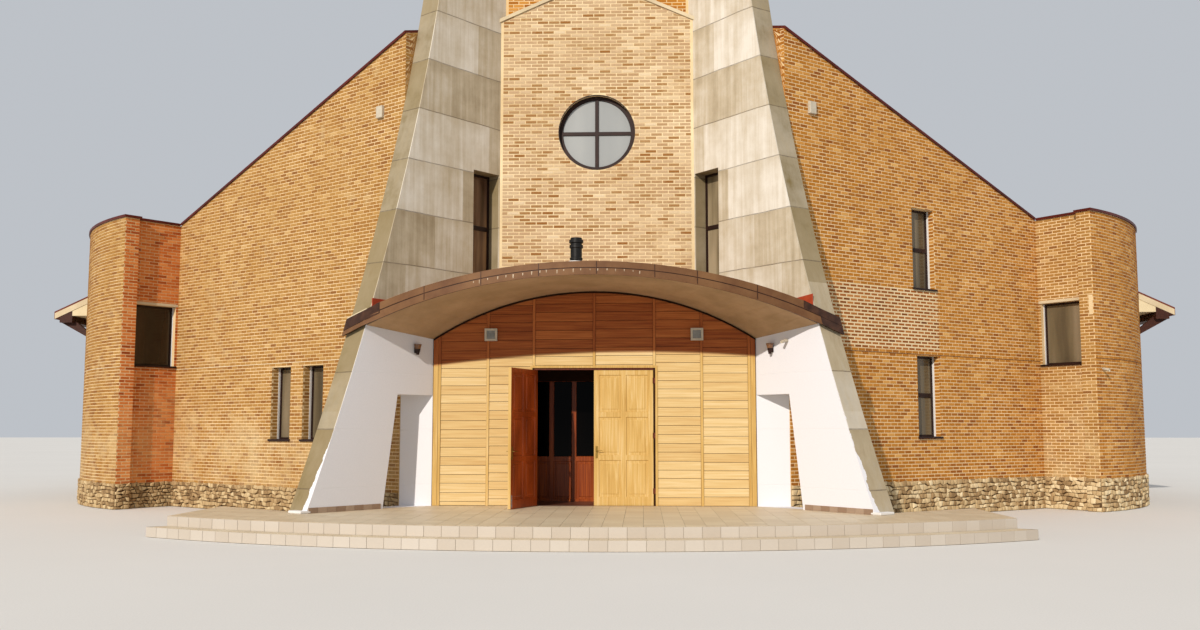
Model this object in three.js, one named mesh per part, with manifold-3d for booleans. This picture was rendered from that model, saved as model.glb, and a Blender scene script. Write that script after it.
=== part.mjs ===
// Modern church building: two splayed concrete fins carry the tower over the entrance, and brick
// wings turn back from them to curved corner walls. Millimetres, +Z up, the entrance faces -Y.

import * as THREE from 'three';
import { mergeVertices } from 'three/addons/utils/BufferGeometryUtils.js';
import Module from 'manifold-3d';

const wasm = await Module();
wasm.setup();

// Plan: the wings and fins share a frame turned by SPLAY about each end of the entrance wall
const SPLAY = THREE.MathUtils.degToRad(37.6);
const ENTRANCE_HALF = 3260;
const WALL = 380;
const SIDE_FACE = 13810;
const REAR_FACE = 26000;
const SHELL_END = 7000;
const SEAM = 0.3;
const ARC_SEAM = 5;
const CUT = 100;

// Heights from the paving in front of the steps
const STEP_RISE = 175;
const FLOOR = 2 * STEP_RISE;
const RIDGE = 12000;
const PITCH = 0.465;
const COPING = 60;
const ROOF_DROP = 120;
const ROOF_THICK = 200;

// Entrance podium: two steps with an arc front
const PODIUM_RADIUS = 13900;
const PODIUM_FRONT = 5100;
const PODIUM_HALF = 7400;
const PODIUM_BACK = 200;
const PODIUM_SEAT = 2800;
const TREAD = 300;

// Fins: upright slabs whose front edge leans back in a gentle curve
const FIN_THICK = 520;
const FIN_BACK = -2450;
const FIN_FOOT = 3160;
const FIN_LEAN = 0.4093;
const FIN_BEND = 1.065e-5;
const FIN_TOP = 17200;
const PASSAGE = { head: 2560, footJamb: 1250, headJamb: 920 };
const SLOT = { from: -1850, to: -1080, low: 5050, high: 7400, setback: 300 };

// Brick wall between the fins, with the round window, and the tower above it
const CENTRE_FACE = 1484;
const CENTRE_BACK = 1884;
const GABLE = 11870;
const GABLE_PITCH = 0.44;
const GABLE_BAND = 80;
const TOWER_FACE = 1600;
const TOWER_WALL_TOP = 14400;
const TIE_BEAM = 350;
const HEAD_BEAM_LOW = 16600;
const CROSS = { top: 19600, arm: 700, armLevel: 18850, bar: 140 };
const ROUND_WINDOW = { level: 8350, radius: 835, frame: 95, bar: 70, setback: 130, depth: 90 };

// Timber entrance wall with its double door
const TIMBER = 120;
const ARCH = { apex: 4664, radius: 5970 };
const DOOR = { half: 1200, head: 3070, lining: 50, leaf: 60, edge: 5, under: 10, open: 110, pivot: -10 };
const HINGE = { levels: [650, 1750, 2850], height: 110, radius: 10, strap: 8, reach: 45 };
const SCREEN = { half: 1450, head: 2950, rail: 1300, depth: 60, face: 1520, lights: 6, stile: 90 };

// Canopy: a shallow vault between the fins with a metal fascia
const CANOPY = { front: 2300, half: 4300, side: 1370, apex: 4700, radius: 11500, thick: 150 };
const FASCIA = { top: 4945, topRadius: 12450, thick: 50, clear: 45, tipLevel: 3900 };
const VENT = { x: -290, y: -1200, radius: 140, top: 5560, cap: 160 };

// Wings and curved corner walls
const WING_FACE = 413;
const WING_END = 9000;
const SHELL = { tip: 8820, face: 1980, radius: 7300, thick: 360, step: 0.045 };
const CORNER_TOP = 6980;
const CORNER_ROOF = { low: 6700, high: 6850 };
const COPING_LIP = 40;
const PARAPET = 250;
const CORNER_WINDOW = { from: 480, to: 1560, low: 3430, high: 4920 };
const WINDOW = { frame: 60, depth: 70, pane: 20, setback: 150 };
const WING_WINDOWS = {
  left: [
    { name: 'inner', from: 3050, to: 3770, low: 1650, high: 3275, bars: [], setback: 230 },
    { name: 'outer', from: 4220, to: 4940, low: 1650, high: 3275, bars: [], setback: 230 },
  ],
  right: [
    { name: 'upper', from: 4370, to: 5110, low: 4990, high: 6800, bars: [5890], setback: 180 },
    { name: 'lower', from: 4430, to: 5170, low: 1710, high: 3500, bars: [2630], setback: 180 },
  ],
};

// Side walls and eaves
const SIDE_WINDOWS = { count: 4, first: 9600, spacing: 4500, width: 900, low: 1900, high: 4400 };
const EAVE = { edge: 14750, back: 26500, soffit: 4910, beam: 14260, beamEdge: 14600, beamLow: 4730 };
const BRACE = { count: 5, first: 7200, spacing: 4750, width: 120, depth: 130, low: 4300 };

const UP = new THREE.Vector3(0, 0, 1);
const ACROSS = new THREE.Vector3(1, 0, 0);
const OUTWARD = new THREE.Vector3(Math.cos(SPLAY), Math.sin(SPLAY), 0);
const FORWARD = new THREE.Vector3(Math.sin(SPLAY), -Math.cos(SPLAY), 0);
const SHELL_CENTRE = splayed(SHELL.tip, SHELL.face - SHELL.radius);

const FINISHES = {
  brick: { color: 0xcf9a5e, roughness: 0.9, metalness: 0 },
  concrete: { color: 0xb9ae95, roughness: 0.85, metalness: 0 },
  tile: { color: 0xd8cfba, roughness: 0.6, metalness: 0 },
  pine: { color: 0xdfb468, roughness: 0.6, metalness: 0 },
  darkWood: { color: 0x6a3014, roughness: 0.5, metalness: 0 },
  soffit: { color: 0x9c8468, roughness: 0.8, metalness: 0 },
  brownMetal: { color: 0x6b4a3c, roughness: 0.5, metalness: 0.6 },
  darkMetal: { color: 0x3a1c1a, roughness: 0.5, metalness: 0.6 },
  glass: { color: 0x8d9497, roughness: 0.1, metalness: 0.1 },
  roofing: { color: 0x8a4a38, roughness: 0.8, metalness: 0 },
  plaster: { color: 0xe0d3b8, roughness: 0.9, metalness: 0 },
  steel: { color: 0x8f8f8c, roughness: 0.4, metalness: 0.9 },
};

const church = new THREE.Group();
church.name = 'modern_church';

// Solid making

function signedVolume(positions, index) {
  const [a, b, c] = [new THREE.Vector3(), new THREE.Vector3(), new THREE.Vector3()];
  let volume = 0;
  for (let i = 0; i < index.length; i += 3) {
    a.fromArray(positions, index[i] * 3);
    b.fromArray(positions, index[i + 1] * 3);
    c.fromArray(positions, index[i + 2] * 3);
    volume += a.dot(b.cross(c));
  }
  return volume;
}

// An indexed closed geometry with its faces turned outwards
function solid(positions, index) {
  const faces = Array.from(index);
  if (signedVolume(positions, faces) < 0) {
    faces.reverse();
  }
  const geometry = new THREE.BufferGeometry();
  geometry.setAttribute('position', new THREE.Float32BufferAttribute(positions, 3));
  geometry.setIndex(faces);
  return geometry;
}

function weld(geometry) {
  const bare = geometry.clone();
  bare.deleteAttribute('normal');
  bare.deleteAttribute('uv');
  const welded = mergeVertices(bare, 1e-3);
  return solid(Array.from(welded.attributes.position.array), welded.index.array);
}

function manifoldOf(geometry) {
  const welded = weld(geometry);
  return new wasm.Manifold(new wasm.Mesh({
    numProp: 3,
    vertProperties: Float32Array.from(welded.attributes.position.array),
    triVerts: Uint32Array.from(welded.index.array),
  }));
}

function geometryOf(body) {
  const mesh = body.getMesh();
  return solid(Array.from(mesh.vertProperties), mesh.triVerts);
}

function cut(geometry, ...cutters) {
  const body = cutters.reduce((rest, cutter) => rest.subtract(manifoldOf(cutter)), manifoldOf(geometry));
  return geometryOf(body);
}

function join(geometry, ...others) {
  const body = others.reduce((whole, other) => whole.add(manifoldOf(other)), manifoldOf(geometry));
  return geometryOf(body);
}

function common(geometry, other) {
  return geometryOf(manifoldOf(geometry).intersect(manifoldOf(other)));
}

function mirrored(geometry) {
  const turned = weld(geometry).applyMatrix4(new THREE.Matrix4().makeScale(-1, 1, 1));
  return solid(Array.from(turned.attributes.position.array), turned.index.array);
}

// A solid over a plan outline, whose underside and top may slope with x and y
function column(plan, low, high) {
  const contour = THREE.ShapeUtils.isClockWise(plan) ? [...plan].reverse() : plan;
  const levelAt = (level, p) => (typeof level === 'function' ? level(p.x, p.y) : level);
  const positions = [];
  for (const level of [low, high]) {
    contour.forEach((p) => positions.push(p.x, p.y, levelAt(level, p)));
  }
  const count = contour.length;
  const index = [];
  for (const [a, b, c] of THREE.ShapeUtils.triangulateShape(contour, [])) {
    index.push(a, c, b, count + a, count + b, count + c);
  }
  for (let i = 0; i < count; i += 1) {
    const j = (i + 1) % count;
    index.push(i, j, count + j, i, count + j, count + i);
  }
  return solid(positions, index);
}

function box(x0, x1, y0, y1, z0, z1) {
  return column([v2(x0, y0), v2(x1, y0), v2(x1, y1), v2(x0, y1)], z0, z1);
}

// An upright plate: its outline lies in a vertical plane through `origin` that runs `along`,
// and its body lies behind that face
function plate(shape, origin, along, thick) {
  const facing = new THREE.Vector3().crossVectors(along, UP);
  const frame = new THREE.Matrix4().makeBasis(along, UP, facing);
  frame.setPosition(origin.clone().addScaledVector(facing, -thick));
  const geometry = new THREE.ExtrudeGeometry(shape, { depth: thick, bevelEnabled: false, curveSegments: 32 });
  return weld(geometry.applyMatrix4(frame));
}

// A plate with openings cut right through it
function pierced(shape, openings, origin, along, thick) {
  const facing = new THREE.Vector3().crossVectors(along, UP);
  const start = origin.clone().addScaledVector(facing, CUT);
  const cutters = openings.map((opening) => plate(opening, start, along, thick + 2 * CUT));
  return cut(plate(shape, origin, along, thick), ...cutters);
}

// A solid through a row of rings; each ring lists its underside and then its top, run back.
// The quads are split in mirror image about the middle ring.
function loft(rings) {
  const size = rings[0].length;
  const positions = rings.flat().flatMap((p) => [p.x, p.y, p.z]);
  const index = [];
  const quad = (a, b, c, d) => index.push(a, b, c, a, c, d);
  for (let r = 0; r + 1 < rings.length; r += 1) {
    for (let i = 0; i < size; i += 1) {
      const j = (i + 1) % size;
      const corners = [r * size + i, (r + 1) * size + i, (r + 1) * size + j, r * size + j];
      if (2 * r + 1 > rings.length - 1) {
        corners.push(corners.shift());
      }
      quad(...corners);
    }
  }
  const last = (rings.length - 1) * size;
  for (let i = 0; i + 1 < size / 2; i += 1) {
    const far = size - 1 - i;
    quad(i, i + 1, far - 1, far);
    quad(last + i, last + far, last + far - 1, last + i + 1);
  }
  return solid(positions, index);
}

function v2(x, y) {
  return new THREE.Vector2(x, y);
}

function v3(x, y, z) {
  return new THREE.Vector3(x, y, z);
}

function outline(points) {
  return new THREE.Shape(points.map(([x, y]) => v2(x, y)));
}

function rectangle(x0, x1, y0, y1) {
  return outline([[x0, y0], [x1, y0], [x1, y1], [x0, y1]]);
}

// A point of the splayed frame: `out` runs along the wing and `forth` runs forward along the fin
function splayed(out, forth) {
  return v2(
    ENTRANCE_HALF + out * OUTWARD.x + forth * FORWARD.x,
    out * OUTWARD.y + forth * FORWARD.y,
  );
}

function splayedOrigin(out, forth) {
  const p = splayed(out, forth);
  return v3(p.x, p.y, 0);
}

// Half width between the fins' inner faces at a depth y
function betweenFins(y) {
  return ENTRANCE_HALF - y * Math.tan(SPLAY) - SEAM;
}

// Plan points of an arc that is symmetric about the entrance axis, from left to right
function frontArc(radius, front, half, steps) {
  const end = Math.asin(half / radius);
  return Array.from({ length: steps + 1 }, (_, i) => {
    const turn = end * (2 * i / steps - 1);
    return v2(radius * Math.sin(turn), radius - front - radius * Math.cos(turn));
  });
}

// How far an arc of a given radius has dropped at a distance from its crown
function arcDrop(radius, x) {
  return radius - Math.sqrt(radius * radius - x * x);
}

function add(name, finish, geometry) {
  const mesh = new THREE.Mesh(weld(geometry), new THREE.MeshStandardMaterial({
    ...FINISHES[finish],
    flatShading: true,
  }));
  mesh.name = name;
  church.add(mesh);
  return mesh;
}

// Adds a right-hand piece and its mirrored twin
function addPair(name, finish, geometry) {
  add(`right_${name}`, finish, geometry);
  add(`left_${name}`, finish, mirrored(geometry));
}

// Heights that follow the roof

function copingTop(x) {
  return RIDGE - PITCH * Math.abs(x);
}

function roofTop(x) {
  return copingTop(x) - ROOF_DROP;
}

function roofUnder(x) {
  return roofTop(x) - ROOF_THICK;
}

function finReach(z) {
  return FIN_FOOT - FIN_LEAN * z + FIN_BEND * z * z;
}

// Entrance podium and floor

// The podium's outline laps into the fins, whose slabs then cut it back
function addPodium() {
  const front = frontArc(PODIUM_RADIUS, PODIUM_FRONT, PODIUM_HALF, 32);
  const rightBack = [
    splayed(FIN_THICK - CUT, PODIUM_SEAT),
    splayed(CUT, PODIUM_SEAT),
    v2(betweenFins(PODIUM_BACK) + CUT, PODIUM_BACK),
  ];
  const leftBack = rightBack.map((p) => v2(-p.x, p.y)).reverse();
  const whole = column([...front, ...rightBack, ...leftBack], 0, FLOOR);
  const fin = finSlab(SEAM);
  add('podium', 'tile', cut(whole, fin, mirrored(fin)));

  const outer = frontArc(PODIUM_RADIUS + TREAD, PODIUM_FRONT + TREAD, PODIUM_HALF + TREAD, 32);
  const inner = frontArc(PODIUM_RADIUS + SEAM, PODIUM_FRONT + SEAM, PODIUM_HALF + SEAM, 32);
  add('podium_lower_step', 'tile', column([...outer, ...inner.reverse()], 0, STEP_RISE));
}

function addFloor() {
  const behindWing = WING_FACE - WALL - SEAM;
  const right = [
    v2(betweenFins(PODIUM_BACK + SEAM), PODIUM_BACK + SEAM),
    splayed(-SEAM, FIN_BACK - SEAM),
    splayed(FIN_THICK + SEAM, FIN_BACK - SEAM),
    splayed(FIN_THICK + SEAM, behindWing),
    splayed(WING_END + WALL + SEAM, behindWing),
    ...cornerArc(SHELL_END),
    v2(SIDE_FACE - WALL - SEAM, SHELL_END),
    v2(SIDE_FACE - WALL - SEAM, REAR_FACE - WALL - SEAM),
  ];
  const left = right.map((p) => v2(-p.x, p.y)).reverse();
  add('nave_floor', 'concrete', column([...right, ...left], 0, FLOOR));
}

// Fins

// A fin without its openings, grown on its sides and front by a clearance
function finSlab(clearance) {
  const steps = 24;
  const edge = Array.from({ length: steps + 1 }, (_, i) => {
    const z = FIN_TOP * i / steps;
    return [finReach(z) + clearance, z];
  });
  const side = outline([[FIN_BACK, 0], ...edge, [FIN_BACK, FIN_TOP]]);
  return plate(side, splayedOrigin(-clearance, 0), FORWARD, FIN_THICK + 2 * clearance);
}

function addFins() {
  const { head, footJamb, headJamb } = PASSAGE;
  const through = FIN_THICK + 2 * CUT;
  const passageSide = plate(
    outline([[-FIN_FOOT, FLOOR], [footJamb, FLOOR], [headJamb, head], [-FIN_FOOT, head]]),
    splayedOrigin(-CUT, 0),
    FORWARD,
    through,
  );
  const inFront = box(0, SIDE_FACE, -2 * FIN_FOOT, 0, 0, FIN_TOP);
  const slotShape = rectangle(SLOT.from, SLOT.to, SLOT.low, SLOT.high);
  const slot = plate(slotShape, splayedOrigin(-CUT, 0), FORWARD, through);
  addPair('fin', 'concrete', cut(finSlab(0), common(passageSide, inFront), slot));

  const bars = [(SLOT.low + SLOT.high) / 2];
  addPair('slot_window', 'glass', windowUnit({ ...SLOT, bars }, splayedOrigin(SLOT.setback, 0), FORWARD));
}

// Brick wall between the fins, the round window and the tower

// Trapezoid plan between the fins' inner faces, from one depth to another
function betweenFinsPlan(front, back, inset = 0) {
  const [wide, narrow] = [betweenFins(front) - inset, betweenFins(back) - inset];
  return [v2(-wide, front), v2(wide, front), v2(narrow, back), v2(-narrow, back)];
}

function gableLine(offset) {
  const half = ENTRANCE_HALF;
  const eaves = GABLE - GABLE_PITCH * half + offset;
  return [[-half, eaves], [0, GABLE + offset], [half, eaves]];
}

function circleHole(radius) {
  const path = new THREE.Path();
  path.absarc(0, ROUND_WINDOW.level, radius, 0, 2 * Math.PI, true);
  return path;
}

function addCentreWall() {
  const half = ENTRANCE_HALF;
  const face = outline([[-half, FLOOR], [half, FLOOR], ...gableLine(-GABLE_BAND).reverse()]);
  face.holes.push(circleHole(ROUND_WINDOW.radius));
  const thick = CENTRE_BACK - CENTRE_FACE;
  const slab = plate(face, v3(0, CENTRE_FACE, 0), ACROSS, thick);
  const plan = column(betweenFinsPlan(CENTRE_FACE, CENTRE_BACK), 0, FIN_TOP);
  const doorway = box(-SCREEN.half, SCREEN.half, CENTRE_FACE - thick, CENTRE_BACK + thick, 0, SCREEN.head);
  add('centre_brick_wall', 'brick', cut(common(slab, plan), doorway));

  const band = outline([...gableLine(0), ...gableLine(SEAM - GABLE_BAND).reverse()]);
  const bandFace = CENTRE_FACE - COPING_LIP;
  const bandPlate = plate(band, v3(0, bandFace, 0), ACROSS, TOWER_FACE - SEAM - bandFace);
  const bandPlan = column(betweenFinsPlan(bandFace - WALL, TOWER_FACE + WALL), 0, FIN_TOP);
  add('gable_band', 'concrete', common(bandPlate, bandPlan));
}

// Ring, cross bars and pane in one solid
function addRoundWindow() {
  const { level, radius, frame, bar, setback, depth } = ROUND_WINDOW;
  const disc = new THREE.Shape().absarc(0, level, radius - SEAM, 0, 2 * Math.PI, false);
  disc.holes.push(circleHole(radius - frame));
  const face = CENTRE_FACE + setback;
  const ring = plate(disc, v3(0, face, 0), ACROSS, depth);
  const reach = radius - frame / 2;
  const upright = box(-bar / 2, bar / 2, face, face + depth, level - reach, level + reach);
  const crossbar = box(-reach, reach, face, face + depth, level - bar / 2, level + bar / 2);
  const middle = face + (depth - WINDOW.pane) / 2;
  const sheet = new THREE.Shape().absarc(0, level, reach, 0, 2 * Math.PI, false);
  const pane = plate(sheet, v3(0, middle, 0), ACROSS, WINDOW.pane);
  add('round_window', 'glass', join(ring, upright, crossbar, pane));
}

function addTower() {
  const half = ENTRANCE_HALF;
  const wall = outline([...gableLine(SEAM - GABLE_BAND), [half, TOWER_WALL_TOP], [-half, TOWER_WALL_TOP]]);
  const plan = column(betweenFinsPlan(TOWER_FACE, CENTRE_BACK), 0, FIN_TOP);
  const slab = plate(wall, v3(0, TOWER_FACE, 0), ACROSS, CENTRE_BACK - TOWER_FACE);
  add('tower_wall', 'brick', common(slab, plan));

  const beamPlan = betweenFinsPlan(CENTRE_FACE, CENTRE_BACK);
  add('tower_tie_beam', 'concrete', column(beamPlan, TOWER_WALL_TOP, TOWER_WALL_TOP + TIE_BEAM));
  add('tower_head_beam', 'concrete', column(beamPlan, HEAD_BEAM_LOW, FIN_TOP));

  const middle = (CENTRE_FACE + CENTRE_BACK) / 2;
  const { top, arm, armLevel, bar } = CROSS;
  const post = box(-bar / 2, bar / 2, middle - bar / 2, middle + bar / 2, FIN_TOP, top);
  const arms = box(-arm, arm, middle - bar / 2, middle + bar / 2, armLevel - bar / 2, armLevel + bar / 2);
  add('cross', 'steel', join(post, arms));
}

// Timber wall, doors and inner screen

function archTop(x) {
  return ARCH.apex - arcDrop(ARCH.radius, x);
}

// Space above the canopy's underside, which the timber wall leaves free
function overVault() {
  return canopyBody(-SEAM, ARCH.apex);
}

function addTimberWall() {
  const plan = column(betweenFinsPlan(0, TIMBER, SEAM), 0, FIN_TOP);
  const edge = DOOR.half + DOOR.lining;
  const height = ARCH.apex + CUT;
  const side = plate(rectangle(edge + SEAM, ENTRANCE_HALF, FLOOR, height), v3(0, 0, 0), ACROSS, TIMBER);
  addPair('timber_wall', 'pine', cut(common(side, plan), overVault()));
  const over = rectangle(-edge, edge, DOOR.head + DOOR.lining + SEAM, height);
  add('timber_wall_over_door', 'pine', cut(plate(over, v3(0, 0, 0), ACROSS, TIMBER), overVault()));

  const around = plate(rectangle(-edge, edge, FLOOR, DOOR.head + DOOR.lining), v3(0, 0, 0), ACROSS, TIMBER);
  const opening = box(-DOOR.half, DOOR.half, -TIMBER, 2 * TIMBER, 0, DOOR.head);
  const hinges = HINGE.levels.map((level) => hingeAt(level));
  add('door_lining', 'pine', join(cut(around, opening), ...hinges, ...hinges.map(mirrored)));
}

// A hinge's fixed half: the knuckle stands before the leaf's edge, on a strap let into the lining
function hingeAt(level) {
  const { height, radius, strap, reach } = HINGE;
  const axis = DOOR.half - DOOR.edge;
  const knuckle = new THREE.CylinderGeometry(radius - SEAM, radius - SEAM, height, 16);
  knuckle.rotateX(Math.PI / 2);
  knuckle.translate(axis, DOOR.pivot, level);
  const [low, high] = [level - height / 2, level + height / 2];
  const flap = box(DOOR.half, DOOR.half + reach, -strap, strap / 4, low, high);
  return join(knuckle, flap);
}

// A leaf is made shut, and the left one then stands open against its stay
function addDoors() {
  const { half, edge, leaf, head, under, pivot, open } = DOOR;
  const shut = box(edge, half - edge, 0, leaf, FLOOR + under, head - under);
  const hinge = half - edge;
  const onHinge = shut.translate(-hinge, -pivot, 0);
  const right = add('right_door_leaf', 'pine', onHinge);
  right.position.set(hinge, pivot, 0);
  const left = add('left_door_leaf', 'pine', mirrored(onHinge));
  left.position.set(-hinge, pivot, 0);
  left.rotation.z = -THREE.MathUtils.degToRad(open);
}

function addScreen() {
  const { half, head, rail, depth, face, lights, stile } = SCREEN;
  const edge = half - SEAM;
  const frame = rectangle(-edge, edge, FLOOR, head - SEAM);
  const pitch = 2 * edge / lights;
  const openings = Array.from({ length: lights }, (_, i) => {
    const low = -edge + i * pitch;
    return rectangle(low + stile / 2, low + pitch - stile / 2, rail, head - stile);
  });
  const screen = pierced(frame, openings, v3(0, face, 0), ACROSS, depth);
  const pane = rectangle(stile / 2 - edge, edge - stile / 2, rail - stile / 2, head - stile / 2);
  const seat = v3(0, face + (depth - WINDOW.pane) / 2, 0);
  add('inner_screen', 'darkWood', join(screen, plate(pane, seat, ACROSS, WINDOW.pane)));
}

// Canopy

function canopyFrontY(x) {
  const { front, half, side } = CANOPY;
  const sag = front - side;
  const radius = (half * half + sag * sag) / (2 * sag);
  return arcDrop(radius, x) - front;
}

// The vault runs from the brick wall over the timber wall's arch to the canopy's front edge
function canopyBody(shift, thick) {
  const { half, apex, radius } = CANOPY;
  const steps = 28;
  const back = CENTRE_FACE - SEAM;
  const rings = Array.from({ length: steps + 1 }, (_, i) => {
    const share = 2 * i / steps - 1;
    const wallX = share * betweenFins(0);
    const frontX = share * half;
    const level = archTop(wallX);
    const shared = canopyFrontY(frontX);
    const frontEdge = Math.min(Math.abs(frontX), betweenFins(shared)) * Math.sign(frontX);
    const under = [
      v3(share * betweenFins(back), back, level),
      v3(wallX, 0, level),
      v3(frontEdge, shared, apex - arcDrop(radius, frontX)),
    ];
    const low = under.map((p) => v3(p.x, p.y, p.z + shift));
    const high = under.map((p) => v3(p.x, p.y, p.z + thick)).reverse();
    return [...low, ...high];
  });
  return loft(rings);
}

function addCanopy() {
  add('canopy_shell', 'soffit', canopyBody(0, CANOPY.thick));
}

// Places along the fascia, each giving its plan point at a level: the canopy's front edge in
// the middle, and at the ends the leaning front faces of the fins
function fasciaStations() {
  const steps = 28;
  const onFin = (side, out) => (z) => {
    const p = splayed(out, finReach(z) + FASCIA.clear);
    return v2(side * p.x, p.y);
  };
  const alongFront = Array.from({ length: steps - 1 }, (_, i) => {
    const x = CANOPY.half * (2 * (i + 1) / steps - 1);
    return () => v2(x, canopyFrontY(x) - SEAM);
  });
  return [onFin(-1, FIN_THICK), onFin(-1, 0), ...alongFront, onFin(1, 0), onFin(1, FIN_THICK)];
}

function addFascia() {
  const { apex, radius } = CANOPY;
  const { top, topRadius, thick, tipLevel } = FASCIA;
  const stations = fasciaStations();
  const edge = (i, z) => {
    const p = stations[i](z);
    const before = stations[Math.max(i - 1, 0)](z);
    const after = stations[Math.min(i + 1, stations.length - 1)](z);
    const run = after.sub(before).normalize();
    return { inner: v3(p.x, p.y, z), outer: v3(p.x + run.y * thick, p.y - run.x * thick, z) };
  };
  const rings = stations.map((station, i) => {
    const { x } = station(tipLevel);
    const low = edge(i, apex - arcDrop(radius, x));
    const high = edge(i, top - arcDrop(topRadius, x));
    return [low.outer, low.inner, high.inner, high.outer];
  });
  add('canopy_fascia', 'brownMetal', loft(rings));
}

function addVent() {
  const { x, y, radius, top, cap } = VENT;
  const foot = ARCH.apex + CANOPY.thick / 2;
  const neck = radius * 0.8;
  const profile = [[0, foot], [neck, foot], [neck, top - cap], [radius, top - cap], [radius, top], [0, top]];
  const vent = new THREE.LatheGeometry(profile.map(([r, z]) => v2(r, z)), 24);
  vent.rotateX(Math.PI / 2);
  vent.translate(x, y, 0);
  add('roof_vent', 'darkMetal', cut(vent, canopyBody(0, CANOPY.thick + SEAM)));
}

// Windows

// Frame and pane of an opening in one solid; the frame's front lies on `origin`
function windowUnit({ from, to, low, high, bars }, origin, along) {
  const { frame, depth, pane } = WINDOW;
  const [x0, x1] = [from + SEAM, to - SEAM];
  const edges = [low + frame / 2, ...bars, high - frame / 2];
  const lights = edges.slice(1).map((edge, i) => (
    rectangle(x0 + frame, x1 - frame, edges[i] + frame / 2, edge - frame / 2)
  ));
  const surround = pierced(rectangle(x0, x1, low + SEAM, high - SEAM), lights, origin, along, depth);
  const facing = new THREE.Vector3().crossVectors(along, UP);
  const sheetOrigin = origin.clone().addScaledVector(facing, -(depth - pane) / 2);
  const inset = frame / 2;
  const sheet = rectangle(x0 + inset, x1 - inset, low + inset, high - inset);
  return join(surround, plate(sheet, sheetOrigin, along, pane));
}

// Wings

function addWing(side) {
  const place = side === 'right' ? (geometry) => geometry : mirrored;
  const start = FIN_THICK + SEAM;
  const end = WING_END + WALL;
  const back = WING_FACE - WALL;
  const plan = [splayed(start, back), splayed(end, back), splayed(end, WING_FACE), splayed(start, WING_FACE)];
  const wall = column(plan, 0, (x) => copingTop(x) - COPING);
  const openings = WING_WINDOWS[side].map((w) => plate(
    rectangle(w.from, w.to, w.low, w.high),
    splayedOrigin(0, WING_FACE + WALL),
    OUTWARD,
    3 * WALL,
  ));
  add(`${side}_wing_wall`, 'brick', place(cut(wall, ...openings)));

  for (const w of WING_WINDOWS[side]) {
    const unit = windowUnit(w, splayedOrigin(0, WING_FACE - w.setback), OUTWARD);
    add(`${side}_wing_${w.name}_window`, 'glass', place(unit));
  }

  const lip = WING_FACE + COPING_LIP;
  const stop = WING_END - SEAM - COPING_LIP;
  const copingPlan = [splayed(start, back), splayed(stop, back), splayed(stop, lip), splayed(start, lip)];
  const coping = column(copingPlan, (x) => copingTop(x) - COPING + SEAM, (x) => copingTop(x));
  add(`${side}_wing_coping`, 'darkMetal', place(coping));
}

// Curved corner walls

// Plan points of an arc about the shell's centre; its angles turn from the front towards the side
function shellArc(radius, from, to) {
  const steps = Math.max(2, Math.round((to - from) / SHELL.step));
  return Array.from({ length: steps + 1 }, (_, i) => {
    const turn = from + (to - from) * i / steps;
    return v2(SHELL_CENTRE.x + radius * Math.sin(turn), SHELL_CENTRE.y - radius * Math.cos(turn));
  });
}

// Angle at which an arc about the shell's centre reaches a depth y
function shellAngle(radius, y) {
  return Math.acos((SHELL_CENTRE.y - y) / radius);
}

// Angle at which it passes a distance `out` along the wing
function shellAngleOut(radius, out) {
  return SPLAY + Math.asin((out - SHELL.tip) / radius);
}

// Plan of the shell from an angle back to the side wall
function shellPlan(outer, inner, from) {
  const ahead = shellArc(outer, from, shellAngle(outer, SHELL_END));
  const behind = shellArc(inner, from, shellAngle(inner, SHELL_END));
  return [...ahead, ...behind.reverse()];
}

// The curved wall, joined with the parapet that closes the corner above the main roof
function addCurvedWall() {
  const { radius, thick } = SHELL;
  const arc = column(shellPlan(radius, radius - thick, SPLAY), 0, CORNER_TOP);
  const parapet = column(parapetPlan(), (x) => roofTop(x) + SEAM, CORNER_TOP);
  addPair('curved_wall', 'brick', join(arc, parapet));
}

// Wall that closes the corner towards the entrance, with its window
function addCornerWall() {
  const plan = cornerWallPlan(0);
  const w = CORNER_WINDOW;
  const opening = rectangle(w.from, w.to, w.low, w.high);
  const cutter = plate(opening, splayedOrigin(WING_END - CUT, 0), FORWARD, WALL + 2 * CUT);
  addPair('corner_wall', 'brick', cut(column(plan, 0, CORNER_TOP), cutter));
  const seat = splayedOrigin(WING_END + WINDOW.setback, 0);
  addPair('corner_window', 'glass', windowUnit({ ...w, bars: [] }, seat, FORWARD));
}

function cornerWallPlan(lip) {
  const inner = SHELL.radius - SHELL.thick - ARC_SEAM;
  const forthAt = (out) => SHELL.face - SHELL.radius + Math.sqrt(inner ** 2 - (out - SHELL.tip) ** 2);
  const near = WING_FACE + SEAM + lip;
  const [face, rear] = [WING_END - lip, WING_END + WALL];
  return [
    splayed(face, near),
    splayed(face, forthAt(face)),
    splayed(rear, forthAt(rear)),
    splayed(rear, near),
  ];
}

// Inner edge of the curved wall, from the corner wall back to a depth y
function cornerArc(y) {
  const inner = SHELL.radius - SHELL.thick - ARC_SEAM;
  const from = shellAngleOut(inner, WING_END + WALL + SEAM);
  return shellArc(inner, from, shellAngle(inner, y));
}

// The parapet stands along the corner roof's rear edge and ends inside the curved wall
function parapetPlan() {
  const from = splayed(WING_END + WALL + SEAM, WING_FACE - WALL - SEAM);
  const edge = cornerArc(SHELL_END - PARAPET).at(-1);
  const run = edge.clone().sub(from).normalize();
  const rearward = v2(-run.y, run.x);
  const to = edge.addScaledVector(run, WALL / 2);
  const shift = (p, distance) => p.clone().addScaledVector(rearward, distance);
  return [shift(from, SEAM), shift(to, SEAM), shift(to, PARAPET), shift(from, PARAPET)];
}

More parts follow.
